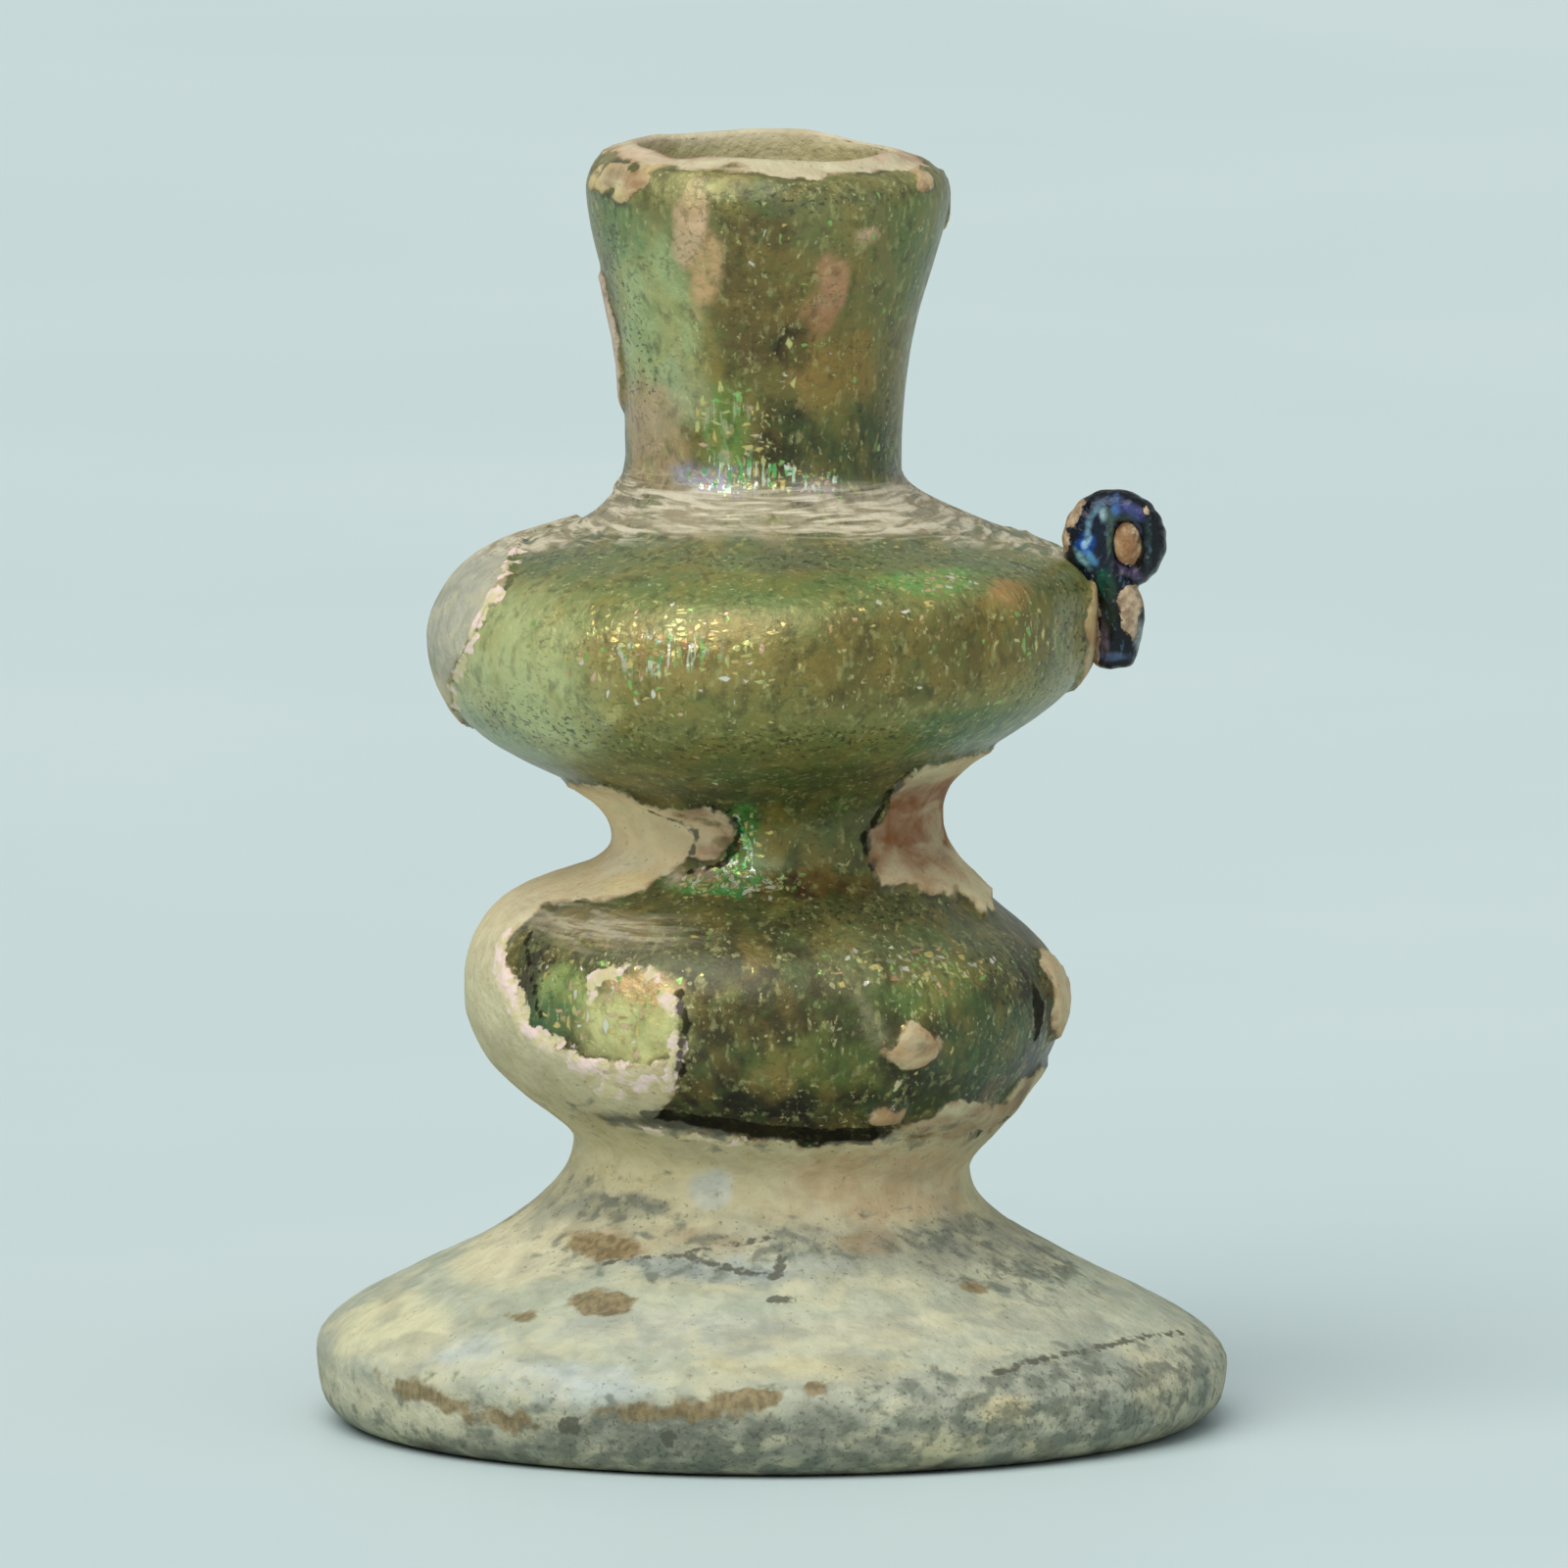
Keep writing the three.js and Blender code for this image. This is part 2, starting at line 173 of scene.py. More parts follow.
kick_edge = STANDING_RADIUS - STANDING_WIDTH
kick_bend = bend((0, KICK), (kick_edge, 0), (kick_edge / 2, 0), (kick_edge / 3, 0), UNDERSIDE_ROWS - 1)
underside = np.vstack([[(0, KICK)], kick_bend])
inside = inside_outline(underside)
section = np.vstack([underside, outside, inside])
print("Rows under, outside and inside:", len(underside), len(outside), len(inside))

# %% [markdown]
# Nothing blown by hand is true. The middle of this flask wanders from side to side as it rises, and
# its waists and bulges are tipped, some to the left and some to the right. Both are stated at a few
# heights and blended smoothly between them, and every point of the flask is moved by them.

# %% The unevenness of the blown form
# height, how far the middle lies to the right and to the back, and the left side's rise in degrees
UNEVEN = np.array([
    (0, 0, 0, 0),
    (FOOT_EDGE, 0, 0, 1.1),
    (FOOT_EDGE + FOOT_CONE / 2, -0.1, 0.05, 1.3),
    (LOWER_WAIST, 0, 0.1, 4.1),
    (LOWER_WAIST + LOWER_BULGE_UNDER / 2, -0.35, 0.1, 2.2),
    (LOWER_BULGE, -0.25, 0.15, 1.3),
    (LOWER_BULGE + LOWER_BULGE_OVER / 2, -0.35, 0.1, 2.3),
    (UPPER_WAIST, 0.25, 0, -3.8),
    (UPPER_WAIST + UPPER_BULGE_UNDER / 2, -0.15, -0.1, -3.3),
    (UPPER_BULGE, -0.4, -0.2, -1.4),
    (SHOULDER, 0.5, -0.15, 0.2),
    (NECK_ROOT, -0.4, -0.1, 3.4),
    (NECK_ROOT + NECK / 2, -0.35, 0, 0.9),
    (RIM, -0.2, 0.1, 0.6),
])


def uneven(places):
    """Moves points of a true flask to where they lie on the hand-made one."""
    z = np.clip(places[:, 2], 0, RIM)
    low = np.clip(np.searchsorted(UNEVEN[:, 0], z, side="right") - 1, 0, len(UNEVEN) - 2)
    share = (z - UNEVEN[low, 0]) / (UNEVEN[low + 1, 0] - UNEVEN[low, 0])
    share = (share * share * (3 - 2 * share))[:, None]
    right, back, tip = (UNEVEN[low, 1:] * (1 - share) + UNEVEN[low + 1, 1:] * share).T
    rise = -places[:, 0] * np.tan(np.radians(tip))
    return places + np.stack([right, back, rise], axis=1)


# %% [markdown]
# The crust and its stains are irregular at every scale, so they need noise that is the same on every
# run. Blender's own textures can't move a mesh from numpy, and a random generator would give no
# smoothness. This small noise mixes fixed numbers, one for each cell of a grid in space, so it is
# smooth and repeatable, and it has no seam where the turned surface meets itself.


# %% Smooth noise for numpy
def noise(places, size, seed):
    """Smooth values from -1 to 1 that change over about size millimetres."""
    scaled = places / size + seed * 7.31
    cell = np.floor(scaled).astype(np.int64)
    part = scaled - cell
    part = part * part * (3 - 2 * part)
    total = np.zeros(len(places))
    for corner in np.ndindex(2, 2, 2):
        n = cell + corner
        mixed = (n[:, 0] * 374761393 + n[:, 1] * 668265263 + n[:, 2] * 1440662683) & 0xFFFFFFFF
        mixed = ((mixed ^ (mixed >> 13)) * 1274126177) & 0xFFFFFFFF
        value = ((mixed ^ (mixed >> 16)) & 0xFFFF) / 32767.5 - 1
        share = np.prod(np.where(corner, part, 1 - part), axis=1)
        total += value * share
    return total


def rough_noise(places, size, seed):
    """Noise on three scales, each half as large and half as strong as the one before."""
    layers = [noise(places, size / 2**k, seed + k) / 2**k for k in range(3)]
    return sum(layers) / 1.5


# %% Lay out the grid of the flask's surface
turn = np.linspace(0, 2 * np.pi, COLUMNS, endpoint=False)
azimuth = (np.degrees(turn) + 180) % 360 - 180
rows = section[1:-1]
radius, level = np.broadcast_to(rows[:, :1], (len(rows), COLUMNS)), rows[:, 1]
way = along(section)[1:-1]
outer_first, outer_last = len(underside) - 1, len(underside) + len(outside) - 2


def turned(outward, upward):
    """Points or directions of the half section, turned round the axis."""
    upright = np.broadcast_to(upward, radius.shape)
    return np.stack([outward * np.sin(turn), -outward * np.cos(turn), upright], axis=-1)


def grid_noise(size, seed, kind=rough_noise):
    """Noise at each point of the grid."""
    return kind(flat_places, size, seed).reshape(radius.shape)


def by_height(heights, values):
    """Values at each point of the grid that depend on its height only."""
    return np.interp(level, heights, values)[:, None] + np.zeros_like(radius)


true_places = turned(radius, level[:, None])
flat_places = true_places.reshape(-1, 3)
print("Grid of", len(rows), "rows and", COLUMNS, "columns")

# %% [markdown]
# Every mark on the flask is placed as a patch: how many degrees round from the front, how
# many millimetres up, and its half width and half length along the surface. One function measures
# how far each point of the flask lies inside a patch. That distance in millimetres is what makes
# the rest easy. It can be joined with other patches, roughened by noise, and cut off sharply.


# %% Measure how far points lie inside a patch
def way_at(height):
    """The distance along the outline at which the outside reaches a height."""
    return np.interp(height, outside[:, 1], way[outer_first:outer_last + 1])


def inside_patch(around, height, half_width, half_length, lean=0):
    """Millimetres from a patch's border, positive inside it. lean tips it, in degrees."""
    across = np.radians((azimuth[None] - around + 180) % 360 - 180) * radius
    upward = (way - way_at(height))[:, None] + np.zeros_like(radius)
    c, s = math.cos(math.radians(lean)), math.sin(math.radians(lean))
    across, upward = across * c + upward * s, upward * c - across * s
    far = np.sqrt((across / half_width) ** 2 + (upward / half_length) ** 2)
    return (1 - far) * min(half_width, half_length)


def near_line(points):
    """Millimetres from a line on the surface, given by (degrees round, height) points."""
    least = np.full(radius.shape, 99.0)
    spots = [(a, way_at(h)) for a, h in points]
    for (a0, w0), (a1, w1) in zip(spots, spots[1:]):
        dx, dy = np.radians(a1 - a0) * radius, w1 - w0
        px, py = np.radians((azimuth[None] - a0 + 180) % 360 - 180) * radius, (way - w0)[:, None]
        share = np.clip((px * dx + py * dy) / (dx * dx + dy * dy), 0, 1)
        least = np.minimum(least, np.hypot(px - dx * share, py - dy * share))
    return least


def inside_shape(points):
    """Millimetres from the border of a shape given by its corners, positive inside it."""
    middle = sum(around for around, _ in points) / len(points)
    at, up = (azimuth[None] - middle + 180) % 360 - 180 + middle, way[:, None]
    within = np.zeros(radius.shape, bool)
    corners = [(around, way_at(height)) for around, height in points]
    for (a0, w0), (a1, w1) in zip(corners, corners[1:] + corners[:1]):
        crossed = (w0 > up) != (w1 > up)
        within ^= crossed & (at < a0 + (up - w0) / (w1 - w0 + 1e-9) * (a1 - a0))
    return np.where(within, 1, -1) * near_line(points + points[:1])


def soft(reach, blur=0.5):
    """0 outside a patch and 1 inside it, blended over its border."""
    t = np.clip(reach / blur / 2 + 0.5, 0, 1)
    return t * t * (3 - 2 * t)


# %% [markdown]
# The crust covers the foot and the lower waist all round. Above them it holds on the left of each
# bulge and round the waists, and patches of it are left elsewhere. Large areas are given by their
# corners and small ones as ovals. Bare windows are cut out of them, as the real crust has flaked
# off. The back of the flask doesn't show in the photograph, so it is given the same kind of crust,
# in larger and plainer areas.

# %% Where the crust is
CRUST_SHAPES = [
    # left of the upper waist, the lower bulge and the lower waist
    [(-150, 31.2), (-90, 30.6), (-47, 31.3), (-42, 30.3), (-36, 29.8), (-20, 30.3), (-14, 29.8),
     (-14, 28.8), (-19, 27.5), (-32, 27.2), (-40, 26.6), (-44, 25.4), (-55, 25.0), (-63, 24.4),
     (-63, 22.6), (-57, 20.9), (-52, 19.6), (-44, 18.6), (-37, 17.9), (-28, 18.2), (-20, 18.6),
     (-18, 17.4), (-21, 16.2), (-29, 15.3), (-18, 14.9), (-4, 14.6), (-4, 12), (-150, 12),
     (-157, 14), (-149, 17), (-155, 21), (-146, 25), (-158, 28)],
    # right of the upper waist
    [(41, 31.4), (40, 29.1), (33, 28.1), (36, 26.8), (37, 26.0), (53, 25.7), (65, 25.2),
     (68, 24.7), (90, 24.9), (118, 26.2), (112, 28.6), (120, 31.2)],
    # cap on the left of the upper bulge
    [(-135, 41.0), (-110, 41.6), (-80, 41.3), (-64, 40.5), (-60, 39.6), (-60, 37.8), (-69, 36.1),
     (-76, 34.6), (-95, 33.4), (-120, 34.0), (-138, 36.5)],
]
CRUST_SPOTS = [
    # degrees round, height, half width, half length, and the lean where there is one
    (29, 19.1, 1.45, 1.0, 20),  # spot on the lower bulge
    (28, 15.9, 1.2, 0.85),  # spot below it
    (40, 15.3, 2.6, 0.55),  # lower edge of the lower bulge
    (56, 15.5, 3.6, 0.9, -6),
    (79, 21.0, 1.6, 2.1),  # right edge of the lower bulge
    (80, 16.2, 3.5, 1.4),
    (-66, 58.7, 2.2, 0.75),  # under the lip on the left
    (-50, 58.6, 0.9, 0.5, 20),
    (56, 58.7, 1.2, 0.6),  # and on the right
    (83, 36.7, 2.4, 2.8),  # beside the handle's stem
    (-88, 50.6, 1.0, 4.2),  # left edge of the neck
    (178, 21.0, 15.0, 6.0, 4),  # the back, from here on
    (140, 37.2, 7.0, 4.2, -8),
    (-160, 33.0, 6.0, 4.5, 10),
    (170, 50.5, 4.0, 5.0),
    (150, 28.0, 5.5, 3.0),
    (-125, 53.5, 2.0, 3.2),
    (110, 57.0, 2.5, 1.6),
]
WINDOWS = [
    (10, 59.3, 6.6, 0.95),  # front of the lip, below its crest
    (-58, 58.2, 0.5, 0.3),  # gaps in the crust under the lip
    (-70, 58.9, 0.6, 0.25, 20),
    (172, 22.6, 4.2, 2.4, 12),  # on the back
    (-145, 18.6, 3.2, 1.8, -20),
]
COARSE_RAGS, FINE_RAGS, UNSEEN_RAGS = 0.42, 0.26, 3.0
ragged = grid_noise(2.4, 1) * COARSE_RAGS + grid_noise(0.9, 5, noise) * FINE_RAGS
unseen = np.interp(np.abs(azimuth), [82, 112], [0, 1])[None] * by_height([55, 58], [1, 0])
ragged += unseen * UNSEEN_RAGS * grid_noise(3.8, 3)

cover = by_height([0, 13.2, 14.6, 16.5], [2, 1.3, 0.1, -1.6])
for corners in CRUST_SHAPES:
    cover = np.maximum(cover, inside_shape(corners))
for spot in CRUST_SPOTS:
    cover = np.maximum(cover, inside_patch(*spot))
for window in WINDOWS:
    cover = np.minimum(cover, -inside_patch(*window))
lip_band = by_height([59.1, 59.5, 59.75, 60], [-1.5, -0.25, 0.25, 0.8])
cover = np.maximum(cover, lip_band) + ragged
outer = (np.arange(len(rows)) >= outer_first) & (np.arange(len(rows)) <= outer_last)
inner = np.arange(len(rows)) > outer_last
cover[inner] = (0.9 + 1.3 * grid_noise(3.0, 7))[inner]
cover[:outer_first] = 1.2
print("Share of the outside under crust:", round(float((cover[outer] > 0).mean()), 2))

# %% [markdown]
# Finishes differ from place to place too. A mesh can carry such information itself, as attributes
# with one value for each point, and the material reads them by name. Scalar attributes hold the
# distances made above, so that the material can cut them off sharply. Two colour attributes hold
# the slow changes of the glass and of the crust, from the same kind of listed patches.


# %% Tint the glass and the crust by listed patches
def paint(red, green, blue):
    """A colour read on a screen, from 0 to 255, as the linear numbers that Blender wants."""
    c = np.array((red, green, blue)) / 255
    return np.where(c <= 0.04045, c / 12.92, ((c + 0.055) / 1.055) ** 2.4)


def tinted(bands, patches, seed):
    """Colours that follow bands by height, with patches blended in on top."""
    heights = [height for height, _ in bands]
    shades = np.array([paint(*tint) for _, tint in bands])
    wander = level[:, None] + 1.2 * grid_noise(4.0, seed)
    colour = np.stack([np.interp(wander, heights, shades[:, k]) for k in range(3)], axis=-1)
    wandering = grid_noise(1.5, seed + 3)
    for patch, tint, strength in patches:
        least = min(patch[2], patch[3])
        blur = max(0.25, 0.36 * least)
        edge = (0.25 + 0.4 * min(1.6, least)) * wandering
        share = (strength * soft(inside_patch(*patch) + edge, blur))[..., None]
        colour = colour * (1 - share) + paint(*tint) * share
    return colour


# The darkest bands, from 13.5 to 18 mm up on the underside of the lower bulge, are in part the glass's deep
# green and in part painted shade.
GLASS_BANDS = [
    (13.5, (18, 18, 8)), (16, (24, 24, 9)), (18, (42, 40, 16)), (21, (68, 68, 32)),
    (24, (92, 92, 58)), (26, (86, 88, 50)), (28, (82, 80, 40)), (30.4, (74, 78, 42)),
    (32, (96, 102, 52)), (34, (126, 126, 66)), (37, (134, 126, 66)), (40, (124, 130, 74)),
    (41.6, (112, 122, 80)), (42.4, (104, 110, 80)), (43.1, (158, 148, 122)), (44.4, (140, 130, 110)),
    (45.2, (104, 100, 68)), (46, (88, 90, 50)),
    (50, (116, 106, 54)), (55, (108, 106, 58)), (60, (132, 130, 80)),
]
GLASS_PATCHES = [
    ((-48, 52.0, 3.2, 5.0), (174, 190, 132), 0.85),  # light green left of the neck
    ((-60, 56.5, 2.4, 1.6), (100, 126, 74), 0.7),
    ((-3, 54.0, 2.2, 4.6), (100, 82, 44), 0.8),  # brown middle
    ((-25, 57.2, 0.7, 2.2, -6), (222, 184, 148), 0.95),  # pink streak down from the lip
    ((-21, 54.6, 0.7, 1.9, -14), (212, 172, 124), 0.9),
    ((24, 54.6, 0.85, 1.3, 16), (196, 140, 110), 0.9),  # pink streak on the right
    ((20, 52.8, 0.8, 1.2, -12), (178, 126, 92), 0.85),
    # a painted glint on the right of the neck
    ((33, 56.6, 0.8, 0.3), (236, 196, 160), 0.85),
    ((17, 50.2, 1.2, 1.8), (150, 116, 66), 0.7),
    ((33, 50.0, 1.9, 2.4), (144, 116, 54), 0.7),  # gold right
    ((58, 55.6, 2.6, 2.6), (96, 112, 56), 0.75),  # green right
    ((40, 55.0, 1.4, 1.8), (136, 118, 66), 0.5),
    ((14, 58.6, 3.4, 0.9), (92, 100, 66), 0.8),
    ((-30, 58.8, 2.0, 0.8), (166, 158, 104), 0.6),
    ((10, 51.2, 0.8, 1.2), (48, 36, 16), 0.95),  # dark spot
    ((-16, 47.3, 1.5, 2.4), (110, 140, 64), 0.8),  # bright green, low left
    ((7, 46.8, 1.5, 2.4), (44, 42, 20), 0.9),  # dark middle, low
    ((38, 46.7, 3.0, 1.9), (62, 74, 40), 0.8),
    ((-36, 48.6, 1.6, 1.9), (160, 168, 128), 0.7),
    ((-56, 46.6, 2.6, 2.6), (184, 156, 122), 0.85),
    # the silver and purple at the root are glints painted as colour, over the layers' own iridescent sheen
    ((-19, 44.8, 1.9, 0.6), (168, 164, 184), 0.9),  # silver and purple at the root
    ((23, 44.8, 1.4, 0.5), (172, 160, 180), 0.85),
    ((2, 44.9, 1.8, 0.6), (96, 104, 72), 0.7),
    ((-54, 36.2, 6.2, 4.2), (190, 198, 140), 0.85),  # light green left of the upper bulge
    ((-64, 33.4, 3.2, 1.8), (112, 134, 86), 0.7),
    ((6, 40.9, 8.5, 1.2), (106, 126, 74), 0.75),
    # a painted green glint on the upper bulge
    ((31, 40.9, 2.6, 1.2), (110, 164, 80), 0.7),
    ((49, 40.0, 1.6, 1.2), (178, 132, 80), 0.85),  # orange
    ((47, 37.6, 2.6, 2.4), (138, 112, 50), 0.6),
    ((24, 37.6, 6.0, 2.6), (96, 84, 38), 0.8),
    ((62, 38.4, 3.4, 3.2), (84, 88, 44), 0.8),
    ((-16, 38.2, 4.6, 1.9), (160, 138, 84), 0.55),
    ((42, 33.0, 5.2, 1.9), (76, 108, 54), 0.85),
    # the nodule's pale tint is in part a painted highlight on its top
    ((-28, 35.0, 0.6, 0.5), (190, 188, 126), 0.8),  # nodule
    ((10, 33.2, 5.0, 1.4), (116, 112, 58), 0.5),
    ((-12, 31.4, 10.5, 0.8), (80, 86, 44), 0.8),
    ((70, 37.0, 2.4, 3.4), (144, 142, 98), 0.7),
    # From here to the pink-white flare, the bright greens, pale green and pink are painted glints and a
    # painted flare, over green glass.
    ((-13, 28.4, 1.0, 1.8), (66, 136, 58), 0.9),  # upper waist
    ((-15, 26.4, 3.0, 0.75), (66, 160, 78), 0.95),
    ((-24, 26.6, 0.8, 0.4), (240, 156, 184), 1.0),
    ((-3, 26.9, 0.9, 1.2), (150, 168, 120), 0.7),
    ((-33, 26.5, 0.5, 0.4), (255, 214, 214), 1.0),
    ((1, 28.6, 0.8, 1.4), (136, 116, 50), 0.8),
    ((22, 28.2, 2.0, 1.8), (92, 96, 46), 0.6),
    ((8, 26.3, 2.2, 0.9), (70, 38, 30), 0.9),
    ((24, 26.0, 1.8, 0.8), (84, 66, 34), 0.7),
    ((-24, 26.4, 2.2, 0.5), (96, 140, 84), 0.8),
    ((-46, 24.2, 4.6, 1.2), (134, 120, 92), 0.8),  # top of the lower bulge
    ((-4, 24.2, 4.0, 1.4), (70, 66, 44), 0.75),
    ((18, 23.2, 1.5, 2.4, -14), (128, 130, 86), 0.75),
    ((44, 24.0, 5.0, 1.0), (104, 112, 74), 0.7),
    # gold and green painted glints on the lower bulge
    ((38, 22.6, 3.0, 0.9), (136, 130, 64), 0.6),
    ((31, 21.6, 2.6, 1.0), (100, 128, 62), 0.65),
    ((20, 20.9, 0.45, 1.5, 24), (150, 148, 108), 0.7),
    ((0, 21.2, 4.6, 2.0), (66, 58, 30), 0.75),
    ((-52, 21.4, 1.2, 1.5), (72, 64, 48), 0.85),  # dark left of the window
    ((-43, 21.2, 1.7, 1.3), (158, 176, 104), 0.85),
    ((-44, 19.9, 2.0, 0.9), (74, 108, 66), 0.9),
    ((-27, 20.0, 2.6, 2.3), (212, 208, 142), 0.95),  # yellow glass in the window
    ((-27, 21.8, 1.9, 0.7), (226, 180, 130), 0.75),
    ((-12, 17.4, 1.8, 1.6), (56, 50, 26), 0.8),
    ((10, 18.2, 3.0, 1.4), (92, 102, 42), 0.75),
    ((2, 17.3, 1.2, 0.9), (140, 118, 66), 0.7),
    ((50, 19.2, 4.0, 2.2), (66, 84, 46), 0.8),
    ((66, 21.4, 1.4, 1.8), (40, 36, 22), 0.85),
    ((72, 19.0, 2.2, 2.4), (58, 56, 36), 0.7),
    # in part painted shade: the underside of the lower bulge, darker than its glass
    ((-6, 15.7, 8.5, 1.5), (10, 10, 5), 1.0),  # black-green band
    ((36, 16.0, 3.4, 1.0), (60, 74, 34), 0.7),
]
INSIDE_TINT = (190, 180, 120)
# The darkest bands at the foot's base, below about 1 mm, are a painted contact shadow under the heel.
CRUST_BANDS = [
    (0, (40, 38, 28)), (0.45, (88, 90, 74)), (1.1, (122, 124, 104)), (2.4, (166, 166, 144)),
    (4.2, (174, 180, 160)), (7, (172, 180, 158)), (9.6, (162, 158, 132)), (12, (204, 192, 150)),
    # the band at 26 mm is in part painted light, brightened where the upper bulge shades the waist
    (15, (188, 174, 134)), (20, (204, 196, 156)), (26, (228, 206, 162)), (31, (208, 178, 130)),
    (37, (176, 174, 150)),
    (45, (170, 158, 130)), (56, (200, 174, 128)), (60, (198, 186, 154)),
]
CRUST_PATCHES = [
    ((36, 12.6, 6.0, 2.4), (198, 168, 128), 0.8),  # tan right of the lower waist
    # in part painted shade: the black edge where the crust turns under the lower bulge
    ((-14, 15.1, 5.2, 0.42), (40, 34, 22), 0.95),  # black edge under the lower bulge
    ((-46, 12.4, 4.2, 1.6), (214, 200, 152), 0.7),
    ((-17, 11.8, 1.0, 0.8), (186, 192, 184), 0.8),
    ((-44, 9.0, 3.3, 0.9), (146, 118, 80), 0.95),  # brown and grey above the foot
    ((-47, 10.5, 2.8, 0.7), (98, 102, 88), 0.95),
    ((-22, 9.6, 2.4, 0.7), (158, 138, 104), 0.85),
    ((25, 9.8, 1.8, 1.1), (146, 124, 90), 0.9),
    ((50, 9.6, 3.6, 1.1), (128, 128, 112), 0.9),
    ((70, 8.8, 4.4, 1.6), (146, 146, 128), 0.8),
    ((-13, 8.5, 4.0, 0.8), (138, 150, 148), 0.95),
    ((8, 8.9, 2.6, 0.7), (172, 178, 166), 0.8),
    ((-67, 8.2, 5.6, 2.6), (212, 204, 168), 0.85),
    ((-12, 6.2, 6.4, 1.6), (180, 184, 172), 0.7),
    ((12, 6.0, 6.0, 1.4), (184, 184, 158), 0.7),
    ((-48, 4.8, 2.2, 1.2), (182, 194, 194), 0.8),
    ((-27, 3.9, 3.6, 1.2), (182, 192, 190), 0.8),
    ((-68, 5.0, 6.0, 2.2), (210, 206, 166), 0.85),
    ((6, 5.0, 5.0, 0.9), (200, 190, 146), 0.7),
    ((-58, 1.9, 8.0, 1.0), (200, 196, 166), 0.8),
    ((43, 3.2, 13.5, 2.8), (152, 156, 140), 0.85),
    ((40, 6.6, 9.0, 1.4), (186, 184, 158), 0.7),
    ((30, 3.1, 1.5, 0.6), (204, 190, 146), 0.9),
    ((60, 3.2, 2.6, 1.5), (196, 190, 158), 0.85),
    ((22, 1.7, 2.6, 0.8), (202, 190, 150), 0.95),
    ((36, 1.2, 1.6, 0.5), (200, 188, 148), 0.9),
    ((-8, 1.6, 10.0, 1.8), (116, 120, 106), 0.9),
    ((-27, 28.9, 2.4, 1.4, -10), (168, 88, 46), 1.0),
    ((-22, 28.0, 1.2, 0.35, -20), (112, 66, 42), 0.9),
    ((-33, 29.6, 1.8, 0.3, 14), (120, 70, 44), 0.9),
    ((-18, 28.8, 0.9, 1.1), (206, 170, 126), 0.7),
    # in part painted light: a pale cream left of the upper waist, brightened where the bulge above shades
    # it
    ((-62, 28.2, 2.4, 2.8), (232, 222, 194), 0.85),
    ((-48, 26.0, 1.8, 0.9), (236, 212, 156), 0.85),
    ((56, 28.4, 5.6, 3.0), (138, 80, 36), 1.0),
    ((52, 25.8, 3.8, 0.7), (196, 160, 118), 0.85),
    # in part painted light: a pale cream left of the upper waist, brightened where the bulge above shades
    # it
    ((-56, 29.2, 4.0, 2.4), (240, 214, 164), 0.9),
    ((-88, 50.6, 1.6, 4.6), (206, 184, 170), 0.9),
    ((72, 16.3, 1.1, 0.9), (104, 66, 46), 0.85),
    ((79, 21.0, 2.0, 2.4), (196, 164, 122), 0.85),
    ((-27, 17.6, 2.6, 1.2), (206, 184, 140), 0.8),
    ((-84, 39.0, 5.4, 3.2), (166, 166, 150), 0.9),
    ((29, 19.1, 1.6, 1.2), (192, 150, 102), 0.9),
    ((30, 19.3, 0.6, 0.4), (126, 92, 58), 0.9),
    ((29, 15.9, 1.4, 1.0), (190, 142, 92), 0.85),
    ((31, 15.8, 0.5, 0.35), (120, 84, 56), 0.85),
    ((58, 15.4, 5.0, 1.2), (160, 130, 96), 0.85),
    ((-62, 58.7, 3.4, 1.0), (204, 180, 118), 0.9),
    ((-60, 58.9, 0.8, 0.35, 10), (128, 92, 58), 0.85),
    ((-47, 58.6, 0.8, 0.4), (150, 106, 68), 0.85),
    ((56, 58.8, 1.4, 0.8), (198, 146, 98), 0.9),
    ((-42, 59.9, 2.6, 0.6), (160, 112, 90), 0.9),  # brown, pink and pale along the lip
    ((-68, 59.7, 2.2, 0.6), (208, 178, 150), 0.85),
    ((8, 59.8, 3.4, 0.5), (214, 206, 168), 0.8),
    ((70, 59.8, 3.4, 0.7), (188, 154, 128), 0.9),
    ((104, 59.7, 3.0, 0.7), (172, 132, 108), 0.85),
    ((-110, 59.8, 3.0, 0.6), (190, 168, 138), 0.8),
    ((82, 37.0, 3.4, 3.0), (204, 168, 112), 0.9),
    ((80, 35.6, 2.4, 1.2), (168, 124, 84), 0.8),
]
glass_tint = tinted(GLASS_BANDS, GLASS_PATCHES, 51)
crust_tint = tinted(CRUST_BANDS, CRUST_PATCHES, 61)
damp = by_height([10, 14], [1, 0])
glass_tint[inner] = paint(*INSIDE_TINT)
crust_tint[inner] = crust_tint[inner] * 0.3 + paint(*INSIDE_TINT) * 0.7
print("Tinted", len(GLASS_PATCHES), "patches of glass and", len(CRUST_PATCHES), "of crust")


# %% Where the crust is stained and where the glass gleams
def joined(patches, none=-1.5):
    """The distance inside the nearest of several patches."""
    reach = np.full(radius.shape, none)
    for patch in patches:
        reach = np.maximum(reach, inside_patch(*patch))
    return reach


